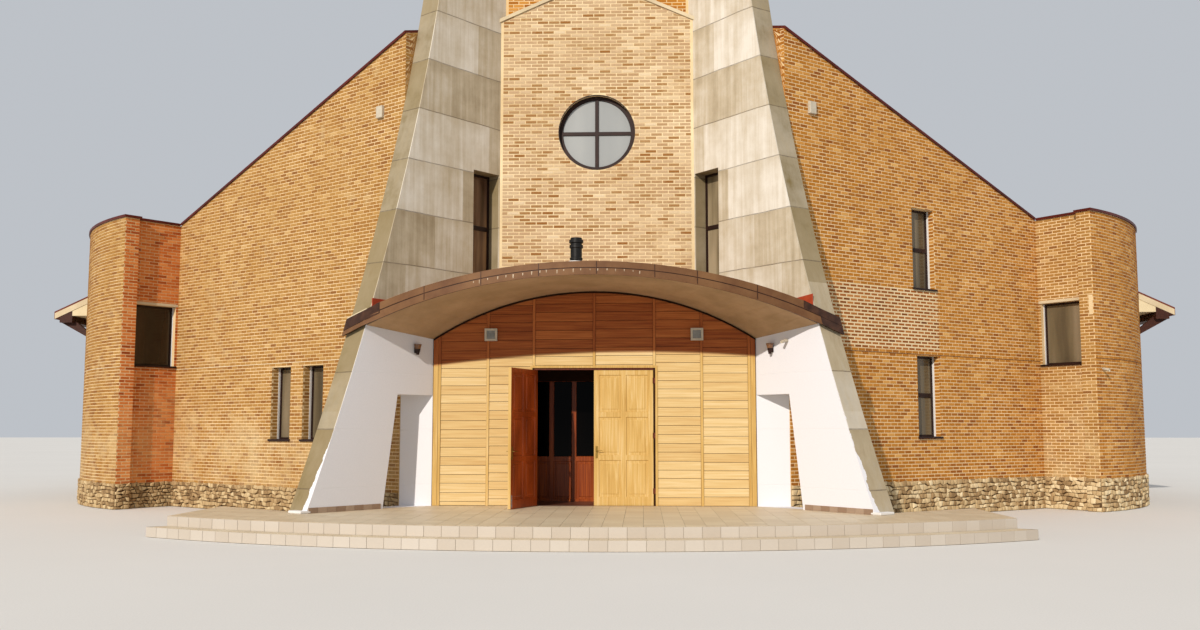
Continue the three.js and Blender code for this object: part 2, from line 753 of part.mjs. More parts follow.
// Flat roof of the corner and the coping round it
function addCornerRoof() {
  const back = WING_FACE - WALL - SEAM;
  const flat = [splayed(WING_END + WALL + SEAM, back), ...cornerArc(SHELL_END - PARAPET)];
  addPair('corner_roof', 'roofing', column(flat, CORNER_ROOF.low, CORNER_ROOF.high));

  const { radius, thick, tip } = SHELL;
  const lip = COPING_LIP;
  const start = shellAngleOut(radius, tip - lip);
  const [low, high] = [CORNER_TOP + SEAM, CORNER_TOP + COPING];
  const arc = column(shellPlan(radius + lip, radius - thick - lip, start), low, high);
  const strip = column(cornerWallPlan(lip), low, high);
  addPair('corner_coping', 'darkMetal', join(arc, strip, column(parapetPlan(), low, high)));
}

// Nave walls, roof and eaves

function addNave() {
  const inside = SIDE_FACE - WALL;
  const rearInside = REAR_FACE - WALL;
  const { count, first, spacing, width, low, high } = SIDE_WINDOWS;
  const [near, far] = [SHELL_END + SEAM, rearInside - SEAM];
  const plan = [v2(inside, near), v2(SIDE_FACE, near), v2(SIDE_FACE, far), v2(inside, far)];
  const side = column(plan, 0, (x) => roofUnder(x) - SEAM);
  const openings = Array.from({ length: count }, (_, i) => {
    const middle = first + i * spacing;
    return box(inside - WALL, SIDE_FACE + WALL, middle - width / 2, middle + width / 2, low, high);
  });
  addPair('side_wall', 'brick', cut(side, ...openings));
  const last = first + (count - 1) * spacing;
  const lap = WINDOW.frame;
  const seat = inside - SEAM;
  const sheet = box(seat - WINDOW.pane, seat, first - width, last + width, low - lap, high + lap);
  addPair('side_glass', 'glass', sheet);

  const rear = outline([
    [-SIDE_FACE, 0],
    [SIDE_FACE, 0],
    [SIDE_FACE, roofUnder(SIDE_FACE) - SEAM],
    [0, roofUnder(0) - SEAM],
    [-SIDE_FACE, roofUnder(SIDE_FACE) - SEAM],
  ]);
  add('rear_wall', 'brick', plate(rear, v3(0, rearInside, 0), ACROSS, WALL));
}

function addRoof() {
  const corner = splayed(WING_END + WALL + SEAM, WING_FACE - WALL - SEAM);
  const plan = [
    v2(SEAM, CENTRE_BACK + SEAM),
    v2(betweenFins(CENTRE_BACK + SEAM), CENTRE_BACK + SEAM),
    splayed(-SEAM, FIN_BACK - SEAM),
    splayed(FIN_THICK + SEAM, FIN_BACK - SEAM),
    splayed(FIN_THICK + SEAM, WING_FACE - WALL - SEAM),
    corner,
    v2(SIDE_FACE - WALL, SHELL_END + SEAM),
    v2(EAVE.edge, SHELL_END + SEAM),
    v2(EAVE.edge, EAVE.back),
    v2(SEAM, EAVE.back),
  ];
  addPair('roof_slope', 'roofing', column(plan, (x) => roofUnder(x), (x) => roofTop(x)));
}

function addEaves() {
  const front = SHELL_END + SEAM;
  const { soffit, beam, beamEdge, beamLow, back } = EAVE;
  const wall = SIDE_FACE + SEAM;
  const strip = (x0, x1) => [v2(x0, front), v2(x1, front), v2(x1, back), v2(x0, back)];
  addPair('eave_soffit', 'plaster', column(strip(wall, beam - SEAM), soffit, (x) => roofUnder(x) - SEAM));

  const edgeBeam = column(strip(beam, beamEdge), beamLow, (x) => roofUnder(x) - SEAM);
  const braces = Array.from({ length: BRACE.count }, (_, i) => {
    const y = BRACE.first + i * BRACE.spacing;
    const shape = outline([
      [wall, BRACE.low],
      [beamEdge, beamLow],
      [beamEdge, beamLow + BRACE.depth / 2],
      [beam, beamLow + BRACE.depth / 2],
      [wall, BRACE.low + BRACE.depth],
    ]);
    return plate(shape, v3(0, y - BRACE.width / 2, 0), ACROSS, BRACE.width);
  });
  addPair('eave_beam', 'darkWood', join(edgeBeam, ...braces));
}

addPodium();
addFloor();
addFins();
addCentreWall();
addRoundWindow();
addTower();
addTimberWall();
addDoors();
addScreen();
addCanopy();
addFascia();
addVent();
addWing('left');
addWing('right');
addCurvedWall();
addCornerWall();
addCornerRoof();
addNave();
addRoof();
addEaves();

export default church;
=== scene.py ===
"""Looks of a modern church building with splayed concrete fins and brick wings.

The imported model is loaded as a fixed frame. Bricks, stones, tiles, boards, windows, doors and
fittings are modelled round it, and every solid of the frame gets a finish. Metres, +Z up.
"""

import logging
import math
from collections.abc import Callable, Sequence
from dataclasses import dataclass, field
from enum import Enum
from functools import partial

import bmesh
import bpy
import numpy as np
from mathutils import Matrix, Vector


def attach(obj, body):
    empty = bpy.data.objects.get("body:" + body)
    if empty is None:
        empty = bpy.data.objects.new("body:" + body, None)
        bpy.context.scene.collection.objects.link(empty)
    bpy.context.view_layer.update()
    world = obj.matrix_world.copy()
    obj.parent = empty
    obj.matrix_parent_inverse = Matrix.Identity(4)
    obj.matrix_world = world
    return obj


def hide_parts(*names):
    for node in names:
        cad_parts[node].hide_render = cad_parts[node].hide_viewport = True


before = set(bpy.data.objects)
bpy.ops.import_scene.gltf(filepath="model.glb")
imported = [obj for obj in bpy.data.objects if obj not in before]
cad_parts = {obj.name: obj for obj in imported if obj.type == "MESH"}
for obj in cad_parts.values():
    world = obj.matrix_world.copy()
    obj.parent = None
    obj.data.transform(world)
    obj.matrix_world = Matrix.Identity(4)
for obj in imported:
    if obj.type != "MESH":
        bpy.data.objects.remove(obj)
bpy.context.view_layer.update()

LOG = logging.getLogger("church")

Level = Callable[[np.ndarray], np.ndarray]
Interval = tuple[float, float]
Opening = tuple[float, float, float, float]
Corners = list[tuple[float, float]]
Test = Callable[[Vector, Vector], bool]
Ramp = tuple[tuple[float, str], ...]
Socket = bpy.types.NodeSocket
Add = Callable[..., Socket]

# Gap between a window and its wall
CLEAR = 0.001
# Sizes shared with the solids
SPLAY = math.radians(37.6)
ENTRANCE_HALF = 3.260
FLOOR = 0.350
STEP_RISE = 0.175
WING_FACE = 0.413
WING_END = 9.000
FIN_THICK = 0.520
SHELL_TIP = 8.820
SHELL_FACE = 1.980
SHELL_RADIUS = 7.300
SHELL_END = 7.000
CORNER_TOP = 6.980
SIDE_FACE = 13.810
REAR_FACE = 26.000
CENTRE_FACE = 1.484
TOWER_FACE = 1.600
CENTRE_BACK = 1.884
RIDGE = 12.000
PITCH = 0.465
GABLE = 11.870
GABLE_PITCH = 0.44
EAVE_EDGE = 14.750
EAVE_BACK = 26.500
VAULT_APEX = 4.664
VAULT_RADIUS = 5.970
ROUND_LEVEL = 8.350
OUTWARD = np.array([math.cos(SPLAY), math.sin(SPLAY)])
FORWARD = np.array([math.sin(SPLAY), -math.cos(SPLAY)])


class Side(Enum):
    """The two halves of the building, seen from the front."""

    RIGHT = 1
    LEFT = -1

    @property
    def word(self) -> str:
        """Gives the side's name as the nodes spell it."""
        return self.name.lower()


class Body(Enum):
    """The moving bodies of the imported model."""

    BUILDING = "building"
    LEFT_LEAF = "left_leaf"
    RIGHT_LEAF = "right_leaf"


def splayed(out: float, forth: float) -> np.ndarray:
    """Gives the plan point that is out along the right wing and forth along its fin."""
    return np.array([ENTRANCE_HALF, 0.0]) + out * OUTWARD + forth * FORWARD


def unsplayed(x: float, y: float) -> tuple[float, float]:
    """Gives how far a plan point is out along the right wing and forth along its fin."""
    past = x - ENTRANCE_HALF
    return past * OUTWARD[0] + y * OUTWARD[1], past * FORWARD[0] + y * FORWARD[1]


SHELL_CENTRE = splayed(SHELL_TIP, SHELL_FACE - SHELL_RADIUS)


def between_fins(y: float) -> float:
    """Gives half the width between the fins' inner faces at a depth y."""
    return ENTRANCE_HALF - y * math.tan(SPLAY)


def arc_drop(radius: float, x: np.ndarray | float) -> np.ndarray | float:
    """Gives how far an arc has dropped at a distance from its crown."""
    return radius - np.sqrt(radius * radius - np.square(x))


def fin_reach(z: float) -> float:
    """Gives how far forward a fin's front edge stands at a height."""
    return 3.160 - 0.4093 * z + 0.01065 * z * z


def fin_level(forth: np.ndarray | float) -> np.ndarray | float:
    """Gives the height at which a fin's front edge stands that far forward."""
    return (0.4093 - np.sqrt(0.4093 ** 2 - 4 * 0.01065 * (3.160 - forth))) / (2 * 0.01065)


# Materials


def linear(code: str) -> tuple[float, float, float, float]:
    """Turns an sRGB hex colour into a linear one.

    Args:
        code: Six hex digits.

    Returns:
        Linear red, green, blue and an alpha of one.
    """
    parts = [int(code[i:i + 2], 16) / 255 for i in (0, 2, 4)]
    turned = [p / 12.92 if p <= 0.04045 else ((p + 0.055) / 1.055) ** 2.4 for p in parts]
    return (*turned, 1.0)


def pair(dark: str, pale: str) -> Ramp:
    """Gives a ramp between two hex colours over the middle of a pattern."""
    return (0.3, dark), (0.7, pale)


def per_metre(size_mm: float) -> float:
    """Gives the texture scale at which a pattern's parts are about size_mm long."""
    return 1000.0 / size_mm


def add_node(tree: bpy.types.NodeTree, kind: str, inputs: dict | None = None, stops: Ramp = (),
             output: str = "", **settings) -> Socket:
    """Adds a node with its settings and links.

    Args:
        tree: The material's node tree.
        kind: The node's type, without the words ShaderNode before it.
        inputs: Values, or sockets to link, by input name or number.
        stops: Places and hex colours of a colour ramp.
        output: Name of the wanted output, where it isn't the first in use.
        **settings: Attributes of the node.

    Returns:
        The output.
    """
    node = tree.nodes.new(f"ShaderNode{kind}")
    for name, value in settings.items():
        setattr(node, name, value)
    for key, value in (inputs or {}).items():
        if isinstance(value, bpy.types.NodeSocket):
            tree.links.new(value, node.inputs[key])
        else:
            node.inputs[key].default_value = value
    if stops:
        elements = node.color_ramp.elements
        while len(elements) < len(stops):
            elements.new(0.5)
        for element, (place, code) in zip(elements, stops):
            element.position = place
            element.color = linear(code)
    return next(o for o in node.outputs if not o.is_unavailable and output in ("", o.name))


@dataclass(frozen=True)
class Finish:
    """A surface finish; each kind adds its own pattern.

    Attributes:
        roughness: Middle roughness.
        shine: Strength of the mirror image on the bare surface.
    """

    name: str
    roughness: float = 0.8
    metallic: float = 0.0
    shine: float = 0.25

    def material(self) -> bpy.types.Material:
        """Gives the finish's material, made on its first use.

        Returns:
            The material.
        """
        found = bpy.data.materials.get(self.name)
        if found is not None:
            return found
        made = bpy.data.materials.new(self.name)
        made.use_nodes = True
        tree = made.node_tree
        shader = tree.nodes["Principled BSDF"]
        for name, value in (("Roughness", self.roughness), ("Metallic", self.metallic),
                            ("Specular IOR Level", self.shine)):
            shader.inputs[name].default_value = value
        add = partial(add_node, tree)
        for name, socket in self.pattern(add, add("TexCoord", output="Object")).items():
            tree.links.new(socket, shader.inputs[name])
        return made

    def pattern(self, add: Add, place: Socket) -> dict[str, Socket]:
        """Draws the finish's own pattern and gives what goes to the shader's inputs."""
        raise NotImplementedError

    @staticmethod
    def surface(add: Add, colour: Socket, grain: Socket, swing: float, height: Socket,
                depth: float) -> dict[str, Socket]:
        """Gives a colour that the grain shades, and a bump.

        Args:
            add: Adds a node to the material.
            colour: The colour.
            grain: The grain, from 0 to 1.
            swing: How far it shades the colour either way.
            height: Height of the bump, from 0 to 1.
            depth: What a height of 1 is worth, in metres.

        Returns:
            The shader's colour and normal.
        """
        shade = add("MapRange", {"Value": grain, "To Min": 1 - swing, "To Max": 1 + swing})
        return {"Base Color": add("VectorMath", {0: colour, "Scale": shade}, operation="SCALE"),
                "Normal": add("Bump", {"Height": height, "Distance": depth, "Strength": 0.5})}


@dataclass(frozen=True)
class FiredBrick(Finish):
    """Hand-pressed facing brick: each brick has its own burnt tone, and salts bleach patches.

    Attributes:
        tones: Ramp of brick colours, from the darkest bricks to the palest.
        bleach: Colour of the bleached patches.
        bleached: Share of the wall that is bleached, from 0 to 1.
        salted: Level under which salts from the ground whiten the bricks.
    """

    tones: Ramp = ()
    bleach: str = "DCC69E"
    bleached: float = 0.3
    salted: float = 0.91

    def pattern(self, add: Add, place: Socket) -> dict[str, Socket]:
        """Draws each brick's tone and the bleached patches over it.

        Args:
            add: Adds a node to the material.
            place: The place on the object.

        Returns:
            What goes to the shader, by the name of its input.
        """
        tone = add("Attribute", output="Fac", attribute_name="tone")
        base = add("ValToRGB", {"Fac": tone}, stops=self.tones)
        height = add("SeparateXYZ", {"Vector": place}, output="Z")
        salt = add("MapRange", {"Value": height, "From Min": self.salted,
                                "From Max": self.salted - 1.0, "To Max": 0.13})
        patch = add("TexNoise", {"Vector": place, "Scale": per_metre(900), "Detail": 9.0,
                                 "Roughness": 0.78})
        spread = add("MapRange", {
            "Value": add("Math", {0: patch, 1: salt}, operation="ADD"), "To Max": 0.7,
            "From Min": 0.66 - 0.35 * self.bleached, "From Max": 0.90 - 0.25 * self.bleached})
        washed = add("Mix", {"Factor": spread, "A": base, "B": linear(self.bleach)},
                     data_type="RGBA")
        grain = add("TexNoise", {"Vector": place, "Scale": per_metre(25), "Detail": 5.0})
        return self.surface(add, washed, grain, 0.18, grain, 0.003)


@dataclass(frozen=True)
class Mottled(Finish):
    """A cast, trowelled, painted or metal surface with mottling at two scales.

    Attributes:
        patch_mm: Size of the large patches.
        grain_mm: Size of the fine grain.
        relief: Depth of the grain, in metres.
        attribute: True where each laid piece has a tone of its own.
    """

    tones: Ramp = ()
    patch_mm: float = 900
    grain_mm: float = 20
    relief: float = 0.001
    attribute: bool = False

    def pattern(self, add: Add, place: Socket) -> dict[str, Socket]:
        """Draws the mottling, and the grain in colour, roughness and relief.

        Args:
            add: Adds a node to the material.
            place: The place on the object.

        Returns:
            What goes to the shader, by the name of its input.
        """
        level = add("TexNoise", {"Vector": place, "Scale": per_metre(self.patch_mm),
                                 "Detail": 7.0, "Roughness": 0.6})
        if self.attribute:
            tone = add("Attribute", output="Fac", attribute_name="tone")
            level = add("Mix", {"Factor": 0.65, "A": level, "B": tone})
        base = add("ValToRGB", {"Fac": level}, stops=self.tones)
        grain = add("TexNoise", {"Vector": place, "Scale": per_metre(self.grain_mm), "Detail": 4.0})
        rough = add("MapRange", {"Value": grain, "To Min": self.roughness - 0.08,
                                 "To Max": min(1.0, self.roughness + 0.08)})
        return {"Roughness": rough, **self.surface(add, base, grain, 0.10, grain, self.relief)}


@dataclass(frozen=True)
class CastConcrete(Finish):
    """Concrete cast in lifts: joints between lifts, a tone for each, rain streaks and algae.

    Attributes:
        green: Colour of the algae on the weather side.
        painted: Colour of the limewash under the canopy, or nothing.
        first: Level of the lowest joint.
    """

    tones: Ramp = ()
    green: str = "8F8765"
    painted: str = ""
    lift: float = 1.09
    first: float = 5.16

    def pattern(self, add: Add, place: Socket) -> dict[str, Socket]:
        """Draws the lifts and what weather and paint have left on them.

        Args:
            add: Adds a node to the material.
            place: The place on the object.

        Returns:
            What goes to the shader, by the name of its input.
        """
        known = {name: add("SeparateXYZ", {"Vector": place}, output=name) for name in "XYZ"}
        boards = add("Mapping", {"Vector": place, "Scale": (9.0, 9.0, 0.35)})
        for name, vector, scale, detail in (
            ("wobble", place, per_metre(1500), 3.0), ("streak", boards, 1.0, 6.0),
            ("mottle", place, per_metre(700), 8.0), ("grain", place, per_metre(18), 4.0),
        ):
            known[name] = add("TexNoise", {"Vector": vector, "Scale": scale, "Detail": detail,
                                           "Roughness": 0.62})
        for name, operation, *values in self.steps():
            inputs = {number: known.get(value, value) for number, value in enumerate(values)}
            known[name] = add("Math", inputs, operation=operation)
        colour = add("ValToRGB", {"Fac": known["level"]}, stops=self.tones)
        for share, code in (("damp", self.green), ("seam", "54483A"),
                            ("cover", self.painted or "808080")):
            colour = add("Mix", {"Factor": known[share], "A": colour, "B": linear(code)},
                         data_type="RGBA")
        return self.surface(add, colour, known["grain"], 0.08, known["relief"], 0.006)

    def steps(self) -> list[tuple]:
        """Gives the arithmetic of the pattern: result, operation and values, in order.

        Returns:
            Rows that lead from the place to the level of the ramp, the shares and the relief.
        """
        return [
            # The splayed frame of either half: across the fin and forth along it
            ("reach", "ABSOLUTE", "X"),
            ("past", "SUBTRACT", "reach", ENTRANCE_HALF),
            ("side", "MULTIPLY", "Y", OUTWARD[1]),
            ("across", "MULTIPLY_ADD", "past", OUTWARD[0], "side"),
            ("side", "MULTIPLY", "Y", FORWARD[1]),
            ("forth", "MULTIPLY_ADD", "past", FORWARD[0], "side"),
            # Lifts and the panels in each, with a tone for each panel
            ("height", "MULTIPLY_ADD", "wobble", 0.06, "Z"),
            ("rise", "SUBTRACT", "height", self.first),
            ("count", "DIVIDE", "rise", self.lift),
            ("whole", "FLOOR", "count"),
            ("share", "FRACT", "count"),
            ("slide", "MULTIPLY_ADD", "whole", 0.77, "forth"),
            ("bay", "DIVIDE", "slide", 1.9),
            ("panel", "FLOOR", "bay"),
            ("seed", "MULTIPLY", "whole", 12.99),
            ("seed", "MULTIPLY_ADD", "panel", 78.23, "seed"),
            ("seed", "SINE", "seed"),
            ("seed", "MULTIPLY", "seed", 437.58),
            ("cast", "FRACT", "seed"),
            # Streaks, mottling and the dark drips that hang under a joint
            ("mixed", "ADD", "streak", "mottle"),
            ("hang", "SUBTRACT", "share", 0.70),
            ("hang", "MAXIMUM", "hang", 0.0),
            ("hang", "MULTIPLY", "hang", "streak"),
            ("east", "GREATER_THAN", "X", 0.0),
            ("level", "MULTIPLY_ADD", "cast", 0.21, -0.10),
            # The right fin is made a little paler: painted light on the fin whose inner face takes
            # the sun
            ("level", "MULTIPLY_ADD", "east", 0.05, "level"),
            ("level", "MULTIPLY_ADD", "mixed", 0.48, "level"),
            ("level", "MULTIPLY_ADD", "hang", -0.45, "level"),
            ("joint", "LESS_THAN", "share", 0.022 / self.lift),
            ("seam", "MULTIPLY", "streak", 1.05),
            ("seam", "MULTIPLY", "joint", "seam"),
            ("edge", "GREATER_THAN", "across", 0.02),
            ("damp", "MULTIPLY_ADD", "mottle", 1.1, -0.08),
            ("damp", "MULTIPLY_ADD", "streak", 0.45, "damp"),
            ("sheltered", "LESS_THAN", "Z", 4.7),
            ("sheltered", "MULTIPLY", "sheltered", "east"),
            ("damp", "MULTIPLY_ADD", "sheltered", -0.34, "damp"),
            ("damp", "MULTIPLY", "damp", "edge"),
            # Limewash: the inner face, the passage and the ragged foot, under the canopy only
            ("slop", "MULTIPLY_ADD", "mottle", 0.5, -0.12),
            ("slop", "MULTIPLY_ADD", "Z", -0.06, "slop"),
            ("slop", "MAXIMUM", "slop", 0.006),
            ("inner", "LESS_THAN", "across", "slop"),
            ("low", "LESS_THAN", "Z", 2.565),
            ("near", "LESS_THAN", "forth", 1.26),
            ("thin", "LESS_THAN", "across", FIN_THICK - 0.004),
            ("passage", "MULTIPLY", "low", "near"),
            ("passage", "MULTIPLY", "passage", "thin"),
            ("ragged", "MULTIPLY_ADD", "mottle", 0.7, "Z"),
            ("ragged", "MULTIPLY_ADD", "across", 2.2, "ragged"),
            ("foot", "LESS_THAN", "ragged", 1.10),
            ("cover", "MAXIMUM", "inner", "passage"),
            ("cover", "MAXIMUM", "cover", "foot"),
            ("low", "LESS_THAN", "Z", 3.95 if self.painted else 0.0),
            ("cover", "MULTIPLY", "cover", "low"),
            ("relief", "ADD", "grain", "streak"),
            ("relief", "MULTIPLY", "relief", 0.4),
            ("relief", "MULTIPLY_ADD", "joint", -0.8, "relief"),
        ]


@dataclass(frozen=True)
class SawnWood(Finish):
    """Sawn boards: grain runs along the board, and each board has a tone of its own.

    Attributes:
        stretch: Pattern scale on X, Y and Z; the small number is along the grain.
        own: Share of the board's own tone in its colour.
        kept: Ramp of darker, redder colours under the vault: painted shade above the canopy's
            shadow line.
    """

    tones: Ramp = ()
    stretch: tuple[float, float, float] = (1.2, 40.0, 40.0)
    own: float = 0.22
    kept: Ramp = ()

    def pattern(self, add: Add, place: Socket) -> dict[str, Socket]:
        """Draws the grain, and painted shade above the arch of the canopy's shadow.

        Args:
            add: Adds a node to the material.
            place: The place on the object.

        Returns:
            What goes to the shader, by the name of its input.
        """
        tone = add("Attribute", output="Fac", attribute_name="tone")
        stretched = add("Mapping", {"Vector": place, "Scale": self.stretch})
        shifted = add("VectorMath", {0: stretched, 1: tone}, operation="ADD")
        grain = add("TexNoise", {"Vector": shifted, "Scale": 1.0, "Detail": 6.0, "Distortion": 0.4})
        level = add("Mix", {"Factor": self.own, "A": grain, "B": tone})
        base = add("ValToRGB", {"Fac": level}, stops=self.tones)
        if self.kept:
            # Painted shade above the canopy's shadow line: an arch, highest a little right of the
            # middle
            x, z = (add("SeparateXYZ", {"Vector": place}, output=name) for name in "XZ")
            off = add("Math", {0: x, 1: 0.86}, operation="SUBTRACT")
            bow = add("Math", {0: off, 1: off}, operation="MULTIPLY")
            above = add("Math", {0: bow, 1: 0.0165, 2: z}, operation="MULTIPLY_ADD")
            share = add("MapRange", {"Value": above, "From Min": 3.40, "From Max": 3.47})
            dark = add("ValToRGB", {"Fac": level}, stops=self.kept)
            base = add("Mix", {"Factor": share, "A": base, "B": dark}, data_type="RGBA")
        bump = add("Bump", {"Height": grain, "Distance": 0.002, "Strength": 0.5})
        return {"Base Color": base, "Normal": bump}


@dataclass(frozen=True)
class Glazing(Finish):
    """Window glass drawn as soft upright folds of curtains behind it; on the screen, painted shade,
    and on the round window, a painted reflection of the sky.

    Attributes:
        fold_mm: Width of a fold.
    """

    tones: Ramp = ()
    fold_mm: float = 450
    shine: float = 0.4

    def pattern(self, add: Add, place: Socket) -> dict[str, Socket]:
        """Draws the folds.

        Args:
            add: Adds a node to the material.
            place: The place on the object.

        Returns:
            What goes to the shader, by the name of its input.
        """
        stretched = add("Mapping", {"Vector": place, "Scale": (1.0, 1.0, 0.12)})
        folds = add("TexNoise", {"Vector": stretched, "Scale": per_metre(self.fold_mm),
                                 "Detail": 3.0})
        return {"Base Color": add("ValToRGB", {"Fac": folds}, stops=self.tones)}


BRICK_LEFT = FiredBrick(
    "facing_brick_sunny", 0.9,
    tones=((0.0, "86582A"), (0.25, "92642F"), (0.5, "A07438"), (0.8, "AE864C"), (1.0, "BC9862")),
    bleach="C6B389", bleached=0.3, salted=2.7)
BRICK_RIGHT = FiredBrick(
    "facing_brick_brown", 0.9,
    tones=((0.0, "884C16"), (0.25, "985D1C"), (0.5, "AD7020"), (0.8, "C08840"), (1.0, "CF9F5A")),
    bleached=0.12)
BRICK_CENTRE = FiredBrick(
    "facing_brick_pale", 0.9,
    tones=((0.0, "8C5E2E"), (0.25, "9E7A4E"), (0.5, "B29472"), (0.8, "C6AE8C"), (1.0, "D2BE9E")),
    bleached=0.4)
BRICK_RED = FiredBrick(
    "facing_brick_red", 0.9,
    tones=((0.0, "8E3C10"), (0.3, "B0581E"), (0.55, "C87030"), (1.0, "D89050")), bleach="DCA668",
    bleached=0.25, salted=3.4)
# Patch of bricks with mortar smeared over their edges
BRICK_PATCH = FiredBrick(
    "smeared_brick_patch", 0.9, tones=((0.0, "6C3A0E"), (0.5, "975820"), (1.0, "B87C40")),
    bleached=0.12)
# Lime mortar, struck nearly flush with the bricks: pale and rough
MORTAR = Mottled(
    "lime_mortar", 0.95, tones=pair("CDAE7C", "E8CEA2"), patch_mm=1200, grain_mm=12, relief=0.003)
MORTAR_PALE = Mottled(
    "pale_lime_mortar", 0.95, tones=pair("CDB488", "E6D3AC"), patch_mm=1200, grain_mm=12,
    relief=0.003)
# Smeared joint of another cement: a light line on one wing and a dark one on the other
JOINT_PALE = Mottled("white_cement_joint", 0.9, tones=pair("DCC8A2", "EADBBC"))
JOINT_DARK = Mottled("open_brick_joint", 0.95, tones=pair("5E3A1E", "74492A"))
# Board-marked concrete, left bare for years: grey-buff with streaks and green algae
CONCRETE = CastConcrete(
    "board_marked_concrete", 0.88, green="75643B", painted="DDDDE1",
    tones=((0.20, "8B7A5C"), (0.45, "BBAE96"), (0.70, "DCD6CA")))
BEAM_CONCRETE = CastConcrete(
    "cast_concrete_beam", 0.88, green="75643B",
    tones=((0.2, "8D8169"), (0.45, "ADA288"), (0.7, "C9C0A8")))
# Bush-finished concrete strip: pale and even
PALE_CONCRETE = Mottled("pale_concrete_trim", 0.85, tones=pair("B9A888", "D2C3A4"), relief=0.002)
LIMEWASH = Mottled("limewashed_render", 0.9, tones=pair("D2CFCA", "DEDCDA"))
# Trowelled and painted render of the vault: matt, warm grey-brown
SOFFIT = Mottled(
    "painted_render_soffit", 0.85, tones=pair("9A7E5C", "BA9A78"), patch_mm=900, grain_mm=15)
# Glazed floor tile of the vestibule: brown, seen only through the open door
BROWN_TILE = Mottled("brown_floor_tile", 0.4, shine=0.5, tones=pair("4E2C1E", "6A3F2C"))
# Glazed stoneware tile: hard, a little glossy, chalk white to cream
RISER_TILE = Mottled(
    "glazed_stoneware_tile", 0.45, shine=0.5,
    tones=((0.2, "B6AB9C"), (0.5, "BBB1A3"), (0.85, "C0B7AA")), patch_mm=260, grain_mm=8,
    relief=0.0004, attribute=True)
TOP_TILE = Mottled(
    "matt_stoneware_paving", 0.5, shine=0.5,
    tones=((0.2, "C5B497"), (0.5, "CBBA9D"), (0.85, "D1C2A6")), patch_mm=300, grain_mm=10,
    relief=0.0004, attribute=True)
TILE_BED = Mottled("tile_bedding_mortar", 0.9, tones=pair("8F846E", "A59A84"))
SKIRTING_TILE = Mottled(
    "brown_skirting_tile", 0.5, tones=((0.2, "8C735E"), (0.8, "AB9681")), patch_mm=200,
    attribute=True)
# Split field stone bedded in mortar: buff, grey and brown stones
FIELD_STONE = Mottled(
    "split_field_stone", 0.9,
    tones=((0.15, "7A6040"), (0.35, "A48860"), (0.6, "C2AA80"), (0.85, "E0CEA8")), patch_mm=120,
    grain_mm=14, relief=0.006, attribute=True)
# Dark bed behind the stones: painted shade in the gaps between them
STONE_BED = Mottled("stone_bedding_mortar", 0.95, tones=pair("4A3520", "6A5034"))
# Oiled pine boards: clear yellow wood, painted red-brown above the canopy's shadow line as shade
UPRIGHT = (40.0, 40.0, 1.2)
PINE_PAINTED_SHADE = ((0.25, "7E3A12"), (0.5, "A05624"), (0.75, "B86C34"))
PINE = SawnWood(
    "oiled_pine_boards", 0.6, kept=PINE_PAINTED_SHADE,
    tones=((0.2, "BA955C"), (0.5, "CBAE76"), (0.8, "D8C294")))
PINE_UPRIGHT = SawnWood(
    "oiled_pine_uprights", 0.6, stretch=UPRIGHT, kept=PINE_PAINTED_SHADE,
    tones=((0.25, "AE8642"), (0.5, "C5A25E"), (0.75, "D6BC88")))
# Stained and varnished softwood: deep red-brown with a soft gloss
STAINED = SawnWood(
    "stained_softwood", 0.35, stretch=UPRIGHT, own=0.45,
    tones=((0.2, "6A2A0E"), (0.5, "9A4218"), (0.8, "C65C24")))
SCREEN_WOOD = SawnWood(
    "varnished_screen_wood", 0.35, stretch=UPRIGHT, own=0.0,
    tones=((0.25, "6A2809"), (0.5, "8A3C10"), (0.75, "A85218")))
# The doors' lining, nearly black brown: painted shade of the gaps beside the leaves
LINING_WOOD = SawnWood(
    "dark_stained_lining", 0.5, stretch=UPRIGHT, own=0.0,
    tones=((0.25, "401809"), (0.5, "5A240F"), (0.75, "723216")))
# Nearly black wood: painted shade behind the boards, under the vault, beside the doors and over the
# screen
DARK_WOOD = Mottled("dark_backing_wood", 0.9, shine=0.1, tones=pair("23140B", "3A2212"))
EAVE_WOOD = SawnWood(
    "stained_eave_timber", 0.6, stretch=(30.0, 1.2, 30.0), own=0.45,
    tones=((0.2, "32160C"), (0.5, "472312"), (0.8, "5B301C")))
# Folded sheet steel with a baked brown coat, dulled by weather
FASCIA_METAL = Mottled(
    "coated_steel_fascia", 0.55, 0.1, tones=pair("5C3B24", "785636"), patch_mm=500, grain_mm=30,
    relief=0.0006)
FASCIA_DARK = Mottled(
    "coated_steel_dark", 0.45, 0.1, tones=pair("26140C", "4C3020"), patch_mm=160, relief=0.0006)
# Lime run out of the slab's edge over the metal: white crust
LIME_DRIP = Mottled("lime_drip_crust", 0.9, tones=pair("A08C74", "CDBCA4"))
COPING_METAL = Mottled(
    "coated_steel_coping", 0.45, 0.1, tones=pair("42150E", "602219"), patch_mm=700, relief=0.0006)
FLASHING = Mottled("red_coated_flashing", 0.5, 0.1, tones=pair("96351C", "B04A2A"), patch_mm=300)
